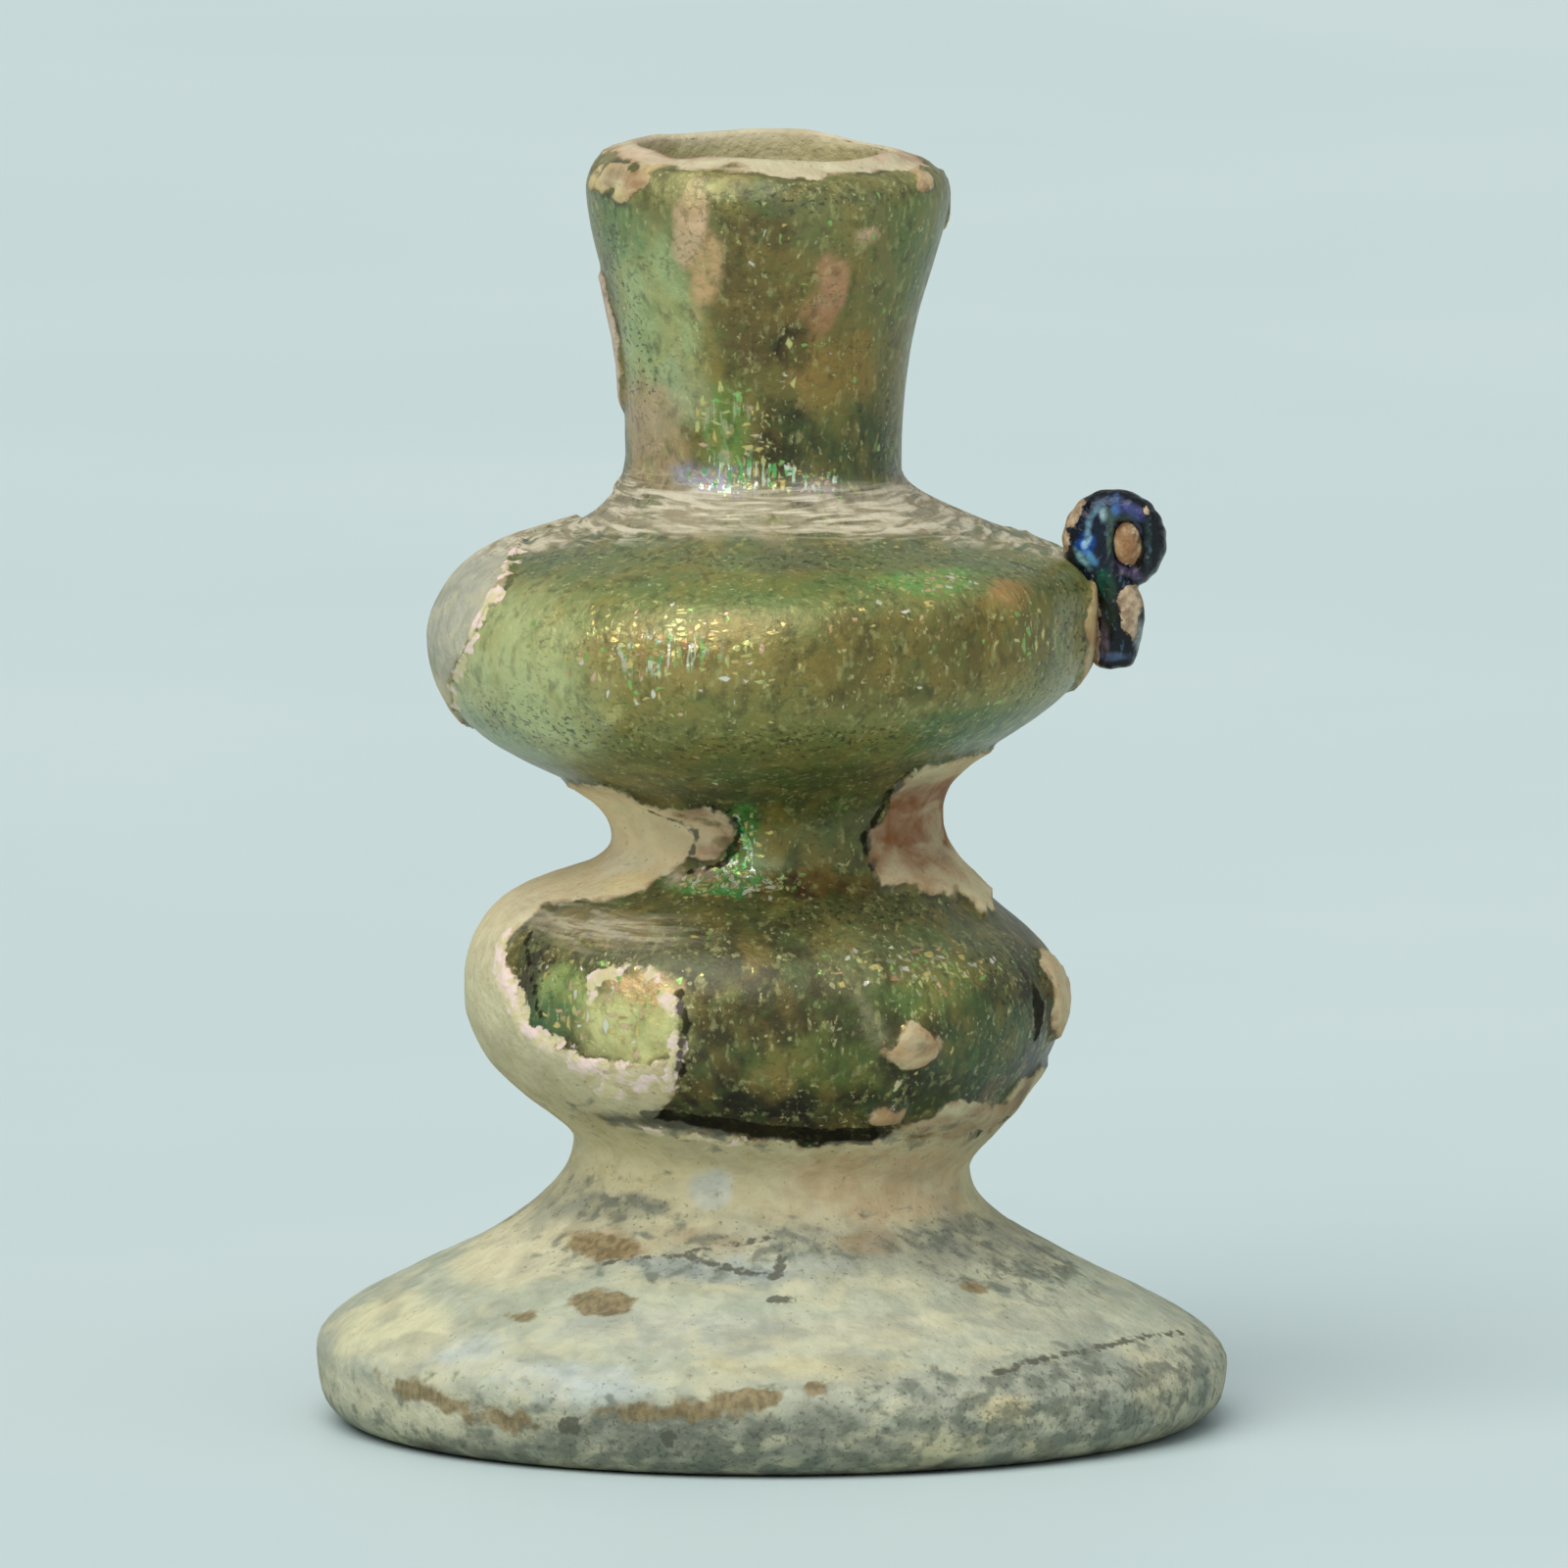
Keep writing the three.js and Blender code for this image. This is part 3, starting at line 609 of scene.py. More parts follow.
stain = joined([
    (-30, 7.0, 1.6, 1.1), (-42, 6.2, 0.6, 0.45), (43, 7.7, 0.7, 0.5),
    (-50, 2.7, 3.4, 0.42, -4), (-36, 2.2, 2.2, 0.42), (-12, 3.1, 3.2, 0.4, 5),
    (-3, 3.7, 1.7, 0.5, 6), (5, 4.2, 0.6, 0.42), (-40, 9.0, 2.2, 0.8, -6),
    (-24, 29.4, 0.9, 0.16, -22), (-18, 28.3, 0.5, 0.25),
    (152, 5.0, 4.0, 0.6), (-130, 7.5, 1.8, 1.0), (-160, 3.0, 3.0, 0.5),
])
mottle = joined([
    (46, 3.0, 13.5, 2.6), (-8, 1.6, 12.0, 1.9), (-46, 10.5, 2.8, 0.8),
    (52, 9.8, 3.6, 1.2), (-45, 0.9, 9.0, 0.7), (66, 8.0, 6.0, 1.8),
    (120, 3.0, 14.0, 2.4), (-140, 1.2, 14.0, 1.0), (165, 9.5, 6.0, 1.6),
    (-8, 14.9, 6.0, 0.5), (8, 9.6, 5.0, 0.6), (-28, 8.6, 5.0, 0.5),
], -3.0)
# The gleam sets where flakes and painted glints crowd, and where the glint strokes appear.
GLEAMS = [
    # strength, blur of the border, patches
    (1.0, 2.0, [(-18, 38.0, 5.6, 2.4)]),
    (0.9, 1.0, [(31, 40.8, 3.0, 1.4), (34, 23.0, 5.0, 1.6)]),
    (0.9, 0.8, [(-14, 47.2, 2.0, 2.8)]),
    (1.5, 0.5, [(-14, 26.4, 3.4, 0.9), (-13, 28.0, 1.1, 1.8)]),
    (0.8, 1.0, [(-34, 20.8, 4.4, 2.2)]),
    (1.5, 0.4, [(-18, 44.9, 2.0, 0.7), (24, 44.9, 1.5, 0.6), (2, 45.2, 2.2, 0.7)]),
    (0.45, 1.5, [(6, 55.8, 3.4, 1.8), (22, 50.6, 2.6, 2.6)]),
    (0.5, 1.5, [(50, 38.0, 4.0, 2.4), (20, 39.4, 6.0, 1.6)]),
]
gleam = np.full(radius.shape, 0.2)
for strength, blur, patches in GLEAMS:
    gleam = np.maximum(gleam, strength * soft(joined(patches), blur))
fleck = soft(joined([
    (-50, 34.2, 9.0, 1.6), (10, 33.4, 9.0, 1.2), (66, 35.0, 5.0, 2.0), (-74, 38.4, 2.0, 3.0),
    (0, 41.8, 12.0, 0.8), (60, 41.0, 4.0, 1.0), (-60, 41.4, 4.0, 1.0), (70, 38.0, 2.4, 3.0),
    (-70, 54.0, 2.6, 4.6), (-62, 50.0, 2.0, 3.0), (5, 58.3, 4.0, 0.8), (70, 47.0, 2.0, 3.0),
    (62, 21.6, 3.0, 3.0), (-52, 22.4, 2.0, 1.6), (30, 25.2, 8.0, 1.0), (60, 17.8, 4.0, 1.6),
]), 0.8)
print("Longest reach of the stains in mm:", round(float(stain.max()), 2))


# %% Draw the dark and the pale lines
def nearest(*lines):
    """Millimetres from the nearest of several lines."""
    return np.minimum.reduce([near_line(line) for line in lines])


# Dark lines, mostly cracks and the crust's dark borders; two of them are painted shade, as marked.
crack_and_shade_lines = np.minimum.reduce([
    near_line([(31, 4.6), (40, 5.0), (50, 5.1), (63, 5.2), (78, 4.9)]) + 0.02,
    near_line([(-20, 9.0), (-11, 8.7), (-3, 8.4), (1.5, 8.3), (2.5, 9.1)]) - 0.03,
    near_line([(-37, 8.4), (-19, 9.1), (0, 9.9)]) + 0.08,
    # painted shadow of the crust's step at the window's right edge
    near_line([(-16.8, 21.7), (-15.8, 20.1), (-17.0, 17.8)]) - 0.05,
    near_line([(-60, 23.3), (-52, 21.3), (-49, 19.9)]) + 0.02,
    near_line([(-43, 30.0), (-36, 29.5), (-28, 29.0), (-31, 27.8)]) + 0.1,
    near_line([(-20, 30.0), (-13.2, 29.6), (-13.6, 28.6), (-19, 27.2), (-30, 26.9)]) + 0.04,
    near_line([(40, 31), (39, 29.1), (32.2, 28.0), (35.2, 26.6)]) + 0.06,
    # in part painted shade: the wide dark band under the lower bulge
    near_line([(-27, 15.5), (-18, 15.3), (-4, 15.1), (12, 14.8), (25, 14.9)]) - 0.34,
    -joined([(2, 7.5, 0.55, 0.3), (-13, 2.0, 0.4, 0.35), (-26, 2.2, 0.5, 0.3),
             (66, 20.2, 0.5, 1.2)], -9.0) + 0.1,
])
pearl = np.minimum.reduce([
    near_line([(-36, 21.4), (-34, 22.2), (-28.6, 22.7), (-22.2, 22.3), (-18.6, 21.3), (-17.6, 20.1),
               (-18.4, 18.7), (-19.6, 17.2)]),
    near_line([(-66, 22.7), (-62, 21.4), (-57, 20.4), (-53, 19.3), (-46, 18.4), (-39, 17.6)]) - 0.22,
    nearest([(-35, 17.9), (-21, 18.5)], [(-34, 17.2), (-23, 17.6)], [(-38, 16.4), (-26, 16.9)]) + 0.1,
    near_line([(-82, 41.4), (-64, 40.6), (-60.4, 39.6), (-60.4, 37.9), (-69, 36.0), (-76, 34.6)]) + 0.16,
    near_line([(27.5, 18.4), (28.5, 16.4)]) + 0.2,
    near_line([(-34, 14.6), (-20, 14.5), (-8, 14.4)]) + 0.1,
])
FIBRES_FROM, FIBRES_TO, FIBRES_DROOP = 42.8, 44.7, 1.8
fibres_foot = FIBRES_FROM - FIBRES_DROOP * (np.minimum(np.abs(azimuth), 86)[None] / 78) ** 2.5
shoulder = np.minimum(level[:, None] - fibres_foot, FIBRES_TO - level[:, None])
fibre = soft(shoulder * 1.4 + ragged * 0.5, 0.6) + 0.6 * soft(
    inside_patch(-44, 24.2, 5.6, 1.4) + ragged, 0.8)
print("Lines come as near as", round(float(min(crack_and_shade_lines.min(), pearl.min())), 2), "mm")


# %% [markdown]
# Where crust is left, the surface stands a few tenths of a millimetre higher. That step is real
# geometry here, so it shows from the side and in the exported mesh. Fine ripples in the glass and
# the crust's own unevenness are added along the surface's normal, and a few chips and a pit are
# sunk into the lip. The flat ring that the flask stands on is left true.

# %% Raise the crust and chip the lip
CRUST_STEP, CRUST_RIPPLE, GLASS_RIPPLE = 0.26, 0.07, 0.045
NODULE, PALE_LINE, CHUNK, CURLED_RIM, LIP_WAVE = 0.26, 0.10, 0.16, 0.05, 0.06
THINNER_CRUST = (56.5, 58.0)
CHUNKS = [(80, 20.8, 1.7, 1.8), (62, 15.7, 3.0, 0.8), (29, 19.1, 1.3, 0.9), (29, 15.9, 1.1, 0.8)]
CHIPS = [
    (34, 59.6, 4.2, 1.3, 0, 0.34),  # worn front right of the lip
    (-42, 59.8, 1.0, 0.5, 0, 0.32),  # brown pit
    (112, 59.7, 5.6, 1.4, 0, 0.42),  # broken step behind the right
    (-150, 59.8, 2.2, 0.8, 0, 0.16),
]
profile_step = np.gradient(rows, axis=0)
profile_step /= np.linalg.norm(profile_step, axis=1)[:, None]
normal = turned(profile_step[:, 1:], -profile_step[:, :1])

crusted = soft(cover, 0.16)
lift = CRUST_STEP * (crusted - 0.45)
lift += crusted * CRUST_RIPPLE * grid_noise(1.5, 11)
lift += (1 - crusted) * GLASS_RIPPLE * grid_noise(1.9, 21)
lift += NODULE * soft(inside_patch(-28, 34.9, 0.75, 0.7), 0.5)
lift += PALE_LINE * np.exp(-((pearl / 0.3) ** 2))
for chunk in CHUNKS:
    lift += CHUNK * soft(inside_patch(*chunk) + ragged, 0.5)
rims = np.exp(-((cover - 0.12) / 0.14) ** 2)
lift += CURLED_RIM * rims * (grid_noise(3.0, 31) + 0.4)
heel = np.clip(level / 1.2, 0, 1)[:, None] * outer[:, None]
lift *= by_height(THINNER_CRUST, [1.0, 0.5])
lift *= heel * np.clip((HEIGHT - 0.05 - level) / 0.5, 0.35, 1)[:, None]
places = true_places + normal * lift[..., None]
lip_noise = grid_noise(2.2, 41)
for around, height, half_width, half_length, lean, depth in CHIPS:
    sunk = soft(inside_patch(around, height, half_width, half_length, lean), 0.35)
    places[..., 2] -= sunk * depth * (1 + 0.3 * lip_noise) * (level > 56)[:, None]
places[..., 2] += LIP_WAVE * lip_noise * np.clip((level - 58.6) / 1.2, 0, 1)[:, None]
flask_points = uneven(places.reshape(-1, 3))
print("Crust stands", CRUST_STEP, "mm proud; lowest point in mm:",
      round(float(flask_points[:, 2].min()), 3))

# %% Build the flask's mesh
def grid_faces(row_count, columns):
    """Four-sided faces between neighbouring rows, closed round the flask."""
    low = np.arange((row_count - 1) * columns).reshape(row_count - 1, columns)
    right = np.roll(low, -1, axis=1)
    return np.stack([low, right, right + columns, low + columns], axis=-1).reshape(-1, 4)


def closed_mesh(name, rings, first_pole, last_pole, columns):
    """A mesh over rings of points, closed at each end by a fan to one point."""
    points = np.vstack([rings, [first_pole], [last_pole]])
    row_count = len(rings) // columns
    j = np.arange(columns)
    k = np.roll(j, -1)
    last = (row_count - 1) * columns
    below, above = len(rings), len(rings) + 1
    fans = [(below, b, a) for a, b in zip(j, k)] + [(above, last + a, last + b) for a, b in zip(j, k)]
    mesh = bpy.data.meshes.new(name)
    mesh.from_pydata(points.tolist(), [], grid_faces(row_count, columns).tolist() + fans)
    mesh.shade_smooth()
    return mesh


def mesh_from(name, build):
    """The mesh that build makes out of an empty one."""
    shape = bmesh.new()
    build(shape)
    mesh = bpy.data.meshes.new(name)
    shape.to_mesh(mesh)
    shape.free()
    return mesh


def add_piece(name, mesh):
    piece = bpy.data.objects.new(name, mesh)
    bpy.context.scene.collection.objects.link(piece)
    return piece


def write_attribute(mesh, name, values):
    """Gives each point of a mesh its own number, or its own colour."""
    if values.ndim == 2:
        colours = np.hstack([values, np.ones((len(values), 1))])
        mesh.attributes.new(name, "FLOAT_COLOR", "POINT").data.foreach_set("color", colours.ravel())
    else:
        mesh.attributes.new(name, "FLOAT", "POINT").data.foreach_set("value", values)


poles = uneven(np.array([[0, 0, KICK], [0, 0, section[-1, 1]]]))
flask_mesh = closed_mesh("flask", flask_points * MM, poles[0] * MM, poles[1] * MM, COLUMNS)
CARRIED = [
    # name, values on the grid, and the values at the poles, under the foot and inside
    ("cover", cover, (1.2, -1.5)),
    ("stain", stain, (-1.5, -1.5)),
    ("mottle", mottle, (1.0, -1.5)),
    ("gleam", gleam, (0, 0)),
    ("fleck", fleck, (0, 0)),
    ("crack_and_shade_lines", crack_and_shade_lines, (9.0, 9.0)),
    ("damp", damp, (1.0, 0.0)),
    ("pearl", pearl, (9.0, 9.0)),
    ("fibre", np.clip(fibre, 0, 1), (0, 0)),
]
for name, values, at_poles in CARRIED:
    write_attribute(flask_mesh, name, np.concatenate([values.ravel(), at_poles]))
for name, tints in (("glass_tint", glass_tint), ("crust_tint", crust_tint)):
    write_attribute(flask_mesh, name, np.vstack([tints.reshape(-1, 3), tints[0, :1], tints[-1, :1]]))
flask = add_piece("weathered_flask", flask_mesh)
print("Flask mesh has", sum(len(p.vertices) - 2 for p in flask_mesh.polygons), "triangles")

# %% [markdown]
# The handle is a trail of dark blue glass. A short stem runs up the side of the bulge, and its end
# curls round into a small ring with an eye that has filled with earth. Each part is a tube of
# changing width, so each is made from rings of points set across a path. The two tubes are then
# remeshed into one skin, as the hot glass melted together.

# %% Place points in the handle's upright plane
HANDLE_TURN, TUBE_COLUMNS = math.radians(-7), 40


def handle_place(out, across, up):
    """A point of the handle, given by its distance out, its distance across and its height."""
    c, s = math.cos(HANDLE_TURN), math.sin(HANDLE_TURN)
    return np.stack([out * c - across * s, out * s + across * c, up], axis=-1)


def handle_axes(places):
    """The distance out, the distance across and the height of points of the handle."""
    c, s = math.cos(HANDLE_TURN), math.sin(HANDLE_TURN)
    return places[:, 0] * c + places[:, 1] * s, places[:, 1] * c - places[:, 0] * s, places[:, 2]


def tube(name, middles, sideways, half_widths, half_depths):
    """A closed tube of oval sections along a path in the handle's plane."""
    t = np.linspace(0, 2 * np.pi, TUBE_COLUMNS, endpoint=False)
    in_plane = middles[:, None] + sideways[:, None] * (half_widths[:, None] * np.cos(t))[..., None]
    rings = handle_place(in_plane[..., 0], half_depths[:, None] * np.sin(t), in_plane[..., 1])
    ends = [handle_place(m[0], 0.0, m[1]) for m in (middles[0], middles[-1])]
    return closed_mesh(name, rings.reshape(-1, 3), ends[0], ends[1], TUBE_COLUMNS)


print("The handle stands", round(math.degrees(HANDLE_TURN)), "degrees off the side")

# %% Curl the ring round its eye
RING_MIDDLE, RING_RADIUS = np.array((16.1, 41.6)), 2.44
EYE_MIDDLE, EYE_SIZE = np.array((16.76, 41.48)), np.array((0.58, 1.0))
RING_DEPTH, RING_START, RING_END = 1.02, -78, -440
PATH_RADIUS, ROUNDED_END, START_LEAD = 1.9, 0.62, 6

turns = np.radians(np.linspace(RING_START, RING_END, 90))
heading = np.stack([np.cos(turns), np.sin(turns)], axis=1)
ring_outside = RING_MIDDLE + RING_RADIUS * heading
ring_inside = EYE_MIDDLE + EYE_SIZE * heading
ring_middles = (ring_outside + ring_inside) / 2
ring_widths = np.linalg.norm(ring_outside - ring_inside, axis=1) / 2
from_start, from_end = RING_START + START_LEAD - np.degrees(turns), np.degrees(turns) - RING_END
to_end = np.radians(np.minimum(from_end, from_start)) * PATH_RADIUS
rounding = np.sqrt(np.clip(1 - (1 - np.clip(to_end / ROUNDED_END, 0, 1)) ** 2, 0.0004, 1))
ring_widths = ring_widths * np.interp(np.degrees(turns), [-440, -395, -360], [1.25, 1.1, 1.0])
ring_depths = np.interp(ring_widths, [0.5, 1.2], [0.78, RING_DEPTH]) * rounding
across_ring = (ring_outside - ring_inside) / (2 * ring_widths[:, None])
ring_tube = tube("ring", ring_middles, across_ring, ring_widths * rounding, ring_depths)
print("Ring's rod is", round(2 * ring_widths.min(), 2), "to", round(2 * ring_widths.max(), 2), "mm thick")

# %% Run the stem up the bulge
STEM = np.array([
    # out, up, half width, half depth
    (16.00, 35.60, 0.03, 0.03),
    (16.00, 35.64, 0.60, 0.50),
    (16.04, 35.80, 0.92, 0.76),
    (16.12, 36.20, 1.07, 0.88),
    (16.20, 37.00, 1.20, 0.97),
    (16.28, 37.90, 1.25, 1.00),
    (16.28, 38.60, 1.20, 0.96),
    (16.22, 39.20, 1.12, 0.88),
    (16.06, 39.80, 0.92, 0.84),
    (15.98, 40.30, 0.60, 0.60),
    (15.97, 40.50, 0.03, 0.03),
])
stem_rows = np.linspace(0, len(STEM) - 1, 60)
stem = np.stack([np.interp(stem_rows, np.arange(len(STEM)), STEM[:, k]) for k in range(4)], axis=1)
stem_tube = tube("stem", stem[:, :2], np.tile((1.0, 0.0), (len(stem), 1)), stem[:, 2], stem[:, 3])
print("Stem runs from", STEM[0, 1], "to", STEM[-1, 1], "mm up")

# %% [markdown]
# A voxel remesh lays one even skin over both tubes. Blender does it with a modifier, and the
# evaluated object gives the finished mesh. The points are then eased out and in by fine ridges
# across the trail, which show where the hot rod was wound, and attributes for its finish are added.

# %% Melt the two tubes into one trail
def join_tubes(shape):
    for part in (ring_tube, stem_tube):
        shape.from_mesh(part)


VOXEL = 0.075
melted = add_piece("handle_tubes", mesh_from("handle_tubes", join_tubes))
remesh = melted.modifiers.new("Remesh", "REMESH")
remesh.mode, remesh.voxel_size, remesh.use_smooth_shade = "VOXEL", VOXEL, True
smooth = melted.modifiers.new("Smooth", "SMOOTH")
smooth.factor, smooth.iterations = 0.5, 5
handle_mesh = bpy.data.meshes.new_from_object(melted.evaluated_get(bpy.context.evaluated_depsgraph_get()))
bpy.data.objects.remove(melted)
print("The trail's skin has", len(handle_mesh.vertices), "points")


# %% Wind the ridges across the trail
def read(items, what):
    """One vector from each point of a mesh, such as its place or its normal."""
    numbers = np.empty(len(items) * 3)
    items.foreach_get(what, numbers)
    return numbers.reshape(-1, 3)


RING_RIDGE, STEM_RIDGE, TRAIL_WAVE = 0.022, 0.03, 0.035
handle_places = read(handle_mesh.vertices, "co")
out, across, up = handle_axes(handle_places)
round_ring = np.degrees(np.arctan2(up - RING_MIDDLE[1], out - RING_MIDDLE[0]))
on_ring = np.clip((up - 39.4) / 0.7, 0, 1)
twist = round_ring + 9 * across + 6 * noise(handle_places, 1.1, 71)
ring_ridges = np.sin(np.radians(twist) * 15 + 3.0 * noise(handle_places, 1.6, 74)) * on_ring
stem_ridges = np.sin(out * 6.5 + across * 2.0 + 2.2 * noise(handle_places, 0.9, 72)) * (1 - on_ring)
ridges = RING_RIDGE * ring_ridges + STEM_RIDGE * stem_ridges
ridges += TRAIL_WAVE * rough_noise(handle_places, 0.8, 73)
handle_places = handle_places + read(handle_mesh.vertex_normals, "vector") * ridges[:, None]
handle_mesh.vertices.foreach_set("co", (handle_places * MM).ravel())
print("Ridges are up to", round(float(np.abs(ridges).max()), 2), "mm high")


# %% Colour the trail by listed patches
def blob(middle_out, middle_up, half_width, half_height, lean=0):
    """Millimetres inside an oval on the handle, seen square to its plane."""
    c, s = math.cos(math.radians(lean)), math.sin(math.radians(lean))
    x, y = out - middle_out, up - middle_up
    x, y = x * c + y * s, y * c - x * s
    return (1 - np.hypot(x / half_width, y / half_height)) * min(half_width, half_height)


handle_noise = 0.16 * rough_noise(handle_places, 0.7, 81)
handle_crust = np.maximum.reduce([
    blob(14.16, 42.75, 0.32, 1.15, -34),  # outer left of the ring
    blob(13.82, 41.8, 0.26, 0.8),
    blob(17.68, 43.1, 0.22, 0.2, -45),
    blob(17.0, 38.8, 0.56, 0.75),  # on the stem
    blob(16.84, 38.1, 0.34, 0.9, 12),
    blob(15.12, 37.3, 0.36, 2.2),  # where it meets the wall
]) + handle_noise
HANDLE_TINTS_AND_HIGHLIGHTS = [
    # Among these, the bright blue patch with its pale core, the light blue, grey-blue and blue-white
    # strokes on the ring, and the blue-grey one low on the stem are painted highlights; the dark blues,
    # violets, teal and grey-greens are the glass's own colours.
    ((15.2, 41.4, 0.9, 1.5, 10), (10, 26, 52), 0.8),
    ((14.86, 41.5, 0.34, 0.44, -30), (18, 86, 180), 1.0),  # bright blue, left
    ((14.9, 41.62, 0.13, 0.26, -28), (176, 220, 246), 1.0),
    ((15.1, 40.9, 0.34, 0.16, -50), (90, 150, 190), 0.9),
    ((14.72, 40.8, 0.14, 0.44, 38), (130, 176, 178), 0.9),
    ((15.66, 42.96, 0.12, 0.27, 12), (176, 208, 216), 0.9),
    ((15.0, 42.3, 0.1, 0.5, -8), (116, 156, 176), 0.9),
    ((15.26, 43.0, 0.1, 0.4, -40), (96, 134, 156), 0.8),
    ((16.27, 43.3, 0.13, 0.32), (74, 116, 176), 0.9),
    ((15.9, 43.55, 0.5, 0.14, 10), (24, 60, 96), 0.8),
    ((17.05, 43.05, 0.55, 0.27, -32), (74, 78, 138), 0.85),  # violet, upper right
    ((15.8, 39.7, 0.3, 0.55, 18), (22, 92, 70), 0.95),  # teal, low
    ((15.98, 41.9, 0.12, 0.7), (100, 122, 106), 0.7),
    ((16.5, 42.75, 0.5, 0.12), (70, 96, 92), 0.7),
    ((16.95, 40.25, 0.6, 0.2, -30), (80, 70, 98), 0.8),
    ((17.75, 41.6, 0.12, 0.9), (52, 76, 78), 0.7),
    ((15.7, 37.0, 0.2, 0.8), (112, 98, 108), 0.7),
    ((17.28, 37.2, 0.14, 0.6), (140, 146, 142), 0.9),
    ((16.15, 36.25, 0.6, 0.13), (76, 94, 124), 0.85),
    ((17.2, 42.6, 0.1, 0.5, 20), (60, 74, 110), 0.8),
    ((16.0, 38.6, 0.3, 1.0), (30, 40, 26), 0.8),
]
handle_tint = np.tile(paint(4, 8, 16), (len(out), 1))
for patch, tint, strength in HANDLE_TINTS_AND_HIGHLIGHTS:
    blur = max(0.1, 0.5 * min(patch[2], patch[3]))
    share = (strength * soft(blob(*patch) + blur / 2 + 0.5 * handle_noise, blur))[:, None]
    handle_tint = handle_tint * (1 - share) + paint(*tint) * share
write_attribute(handle_mesh, "glass_tint", handle_tint)
write_attribute(handle_mesh, "cover", handle_crust)
handle = add_piece("handle_trail", handle_mesh)
print("Share of the trail under crust:", round(float((handle_crust > 0).mean()), 2))

# %% [markdown]
# Earth from the ground is still packed in the ring's eye, a little below the glass on both sides.
# It is a small lump of its own: a ball squeezed to the eye's oval, then made irregular by noise.

# %% Pack the eye with earth
earth_mesh = mesh_from(
    "ring_earth", lambda shape: bmesh.ops.create_icosphere(shape, subdivisions=5, radius=1))
ball = read(earth_mesh.vertices, "co")
lump = 1 + 0.16 * rough_noise(ball * 1.6, 0.9, 91)[:, None]
half = np.array((EYE_SIZE[0] * 1.2, 0.72, EYE_SIZE[1] * 1.1))
lumps = np.sign(ball) * np.abs(ball) ** np.array((1.0, 0.7, 1.0)) * half * lump
earth_places = handle_place(lumps[:, 0] + EYE_MIDDLE[0], lumps[:, 1], lumps[:, 2] + EYE_MIDDLE[1])
earth_mesh.vertices.foreach_set("co", (earth_places * MM).ravel())
earth_mesh.shade_smooth()
earth = add_piece("ring_earth", earth_mesh)
print("Earth in the eye has", len(earth_mesh.polygons), "triangles")

# %% [markdown]
# Now the finishes. A Blender material is a graph of nodes that ends in a shader. The same few steps
# come up in each of these: read an attribute, make noise of a stated size in millimetres, do a sum,
# and mix two colours. Short functions for them keep each finish readable.


# %% Short ways to make nodes
def new_material(name):
    """A new finish. The functions below add their nodes to the finish that was begun last."""
    made = bpy.data.materials.new(name)
    made.use_nodes = True
    return made.node_tree, made.node_tree.nodes["Principled BSDF"], made


def give(socket, value):
    """Links a value that comes from a node, or sets a plain one."""
    if isinstance(value, bpy.types.NodeSocket):
        tree.links.new(value, socket)
    else:
        socket.default_value = value


def carried(name, output="Fac"):
    """A value, or with output="Color" a colour, that each point of the mesh carries."""
    node = tree.nodes.new("ShaderNodeAttribute")
    node.attribute_name = name
    return node.outputs[output]


def calculator(operation):
    """Makes a function that adds one kind of sum."""
    def calculate(*values):
        node = tree.nodes.new("ShaderNodeMath")
        node.operation = operation
        for socket, value in zip(node.inputs, values):
            give(socket, value)
        return node.outputs[0]
    return calculate


plus, minus, times = calculator("ADD"), calculator("SUBTRACT"), calculator("MULTIPLY")
larger, smaller = calculator("MAXIMUM"), calculator("MINIMUM")
times_plus = calculator("MULTIPLY_ADD")


def between(value, low, high):
    """0 at low, 1 at high, and smooth in between."""
    node = tree.nodes.new("ShaderNodeMapRange")
    node.interpolation_type = "SMOOTHSTEP"
    for name, number in (("Value", value), ("From Min", low), ("From Max", high)):
        give(node.inputs[name], number)
    return node.outputs[0]


def mixed(share, first, second):
    """The first colour where the share is 0, and the second where it is 1."""
    node = tree.nodes.new("ShaderNodeMix")
    node.data_type = "RGBA"
    for socket, value in zip((node.inputs[0], node.inputs[6], node.inputs[7]), (share, first, second)):
        give(socket, value)
    return node.outputs[2]


def shade(red, green, blue):
    """A screen colour as a node's colour value."""
    return (*paint(red, green, blue), 1.0)


def two_tone(share, first, second):
    """From one screen colour to another one."""
    return mixed(share, shade(*first), shade(*second))


def layer(under, share, strength, colour):
    """Lays a screen colour over another one, where the share says and as strongly as stated."""
    return mixed(times(share, strength), under, shade(*colour))


def add_bump(height, depth):
    """Bends the light as if the surface rose by depth millimetres where the height is 1."""
    bump = tree.nodes.new("ShaderNodeBump")
    bump.inputs["Distance"].default_value = depth * MM
    give(bump.inputs["Height"], height)
    give(shader.inputs["Normal"], bump.outputs[0])


# %% Noise of a stated size for materials
def object_places(seed, stretch=(1, 1, 1)):
    """Where a point of the object lies, in millimetres, shifted by its own amount for each seed."""
    where = tree.nodes.new("ShaderNodeTexCoord").outputs["Object"]
    scaled = tree.nodes.new("ShaderNodeVectorMath")
    scaled.operation = "MULTIPLY_ADD"
    give(scaled.inputs[0], where)
    scaled.inputs[1].default_value = [s / MM for s in stretch]
    scaled.inputs[2].default_value = [seed * 17.3, seed * 9.1, seed * 5.7]
    return scaled.outputs[0]


def grain(size, seed, detail=2.0, stretch=(1, 1, 1), warp=0.0):
    """Noise from 0 to 1 whose lumps are about size millimetres across."""
    node = tree.nodes.new("ShaderNodeTexNoise")
    give(node.inputs["Vector"], object_places(seed, stretch))
    node.inputs["Scale"].default_value = 1 / size
    node.inputs["Detail"].default_value = detail
    node.inputs["Distortion"].default_value = warp
    return node.outputs["Fac"]


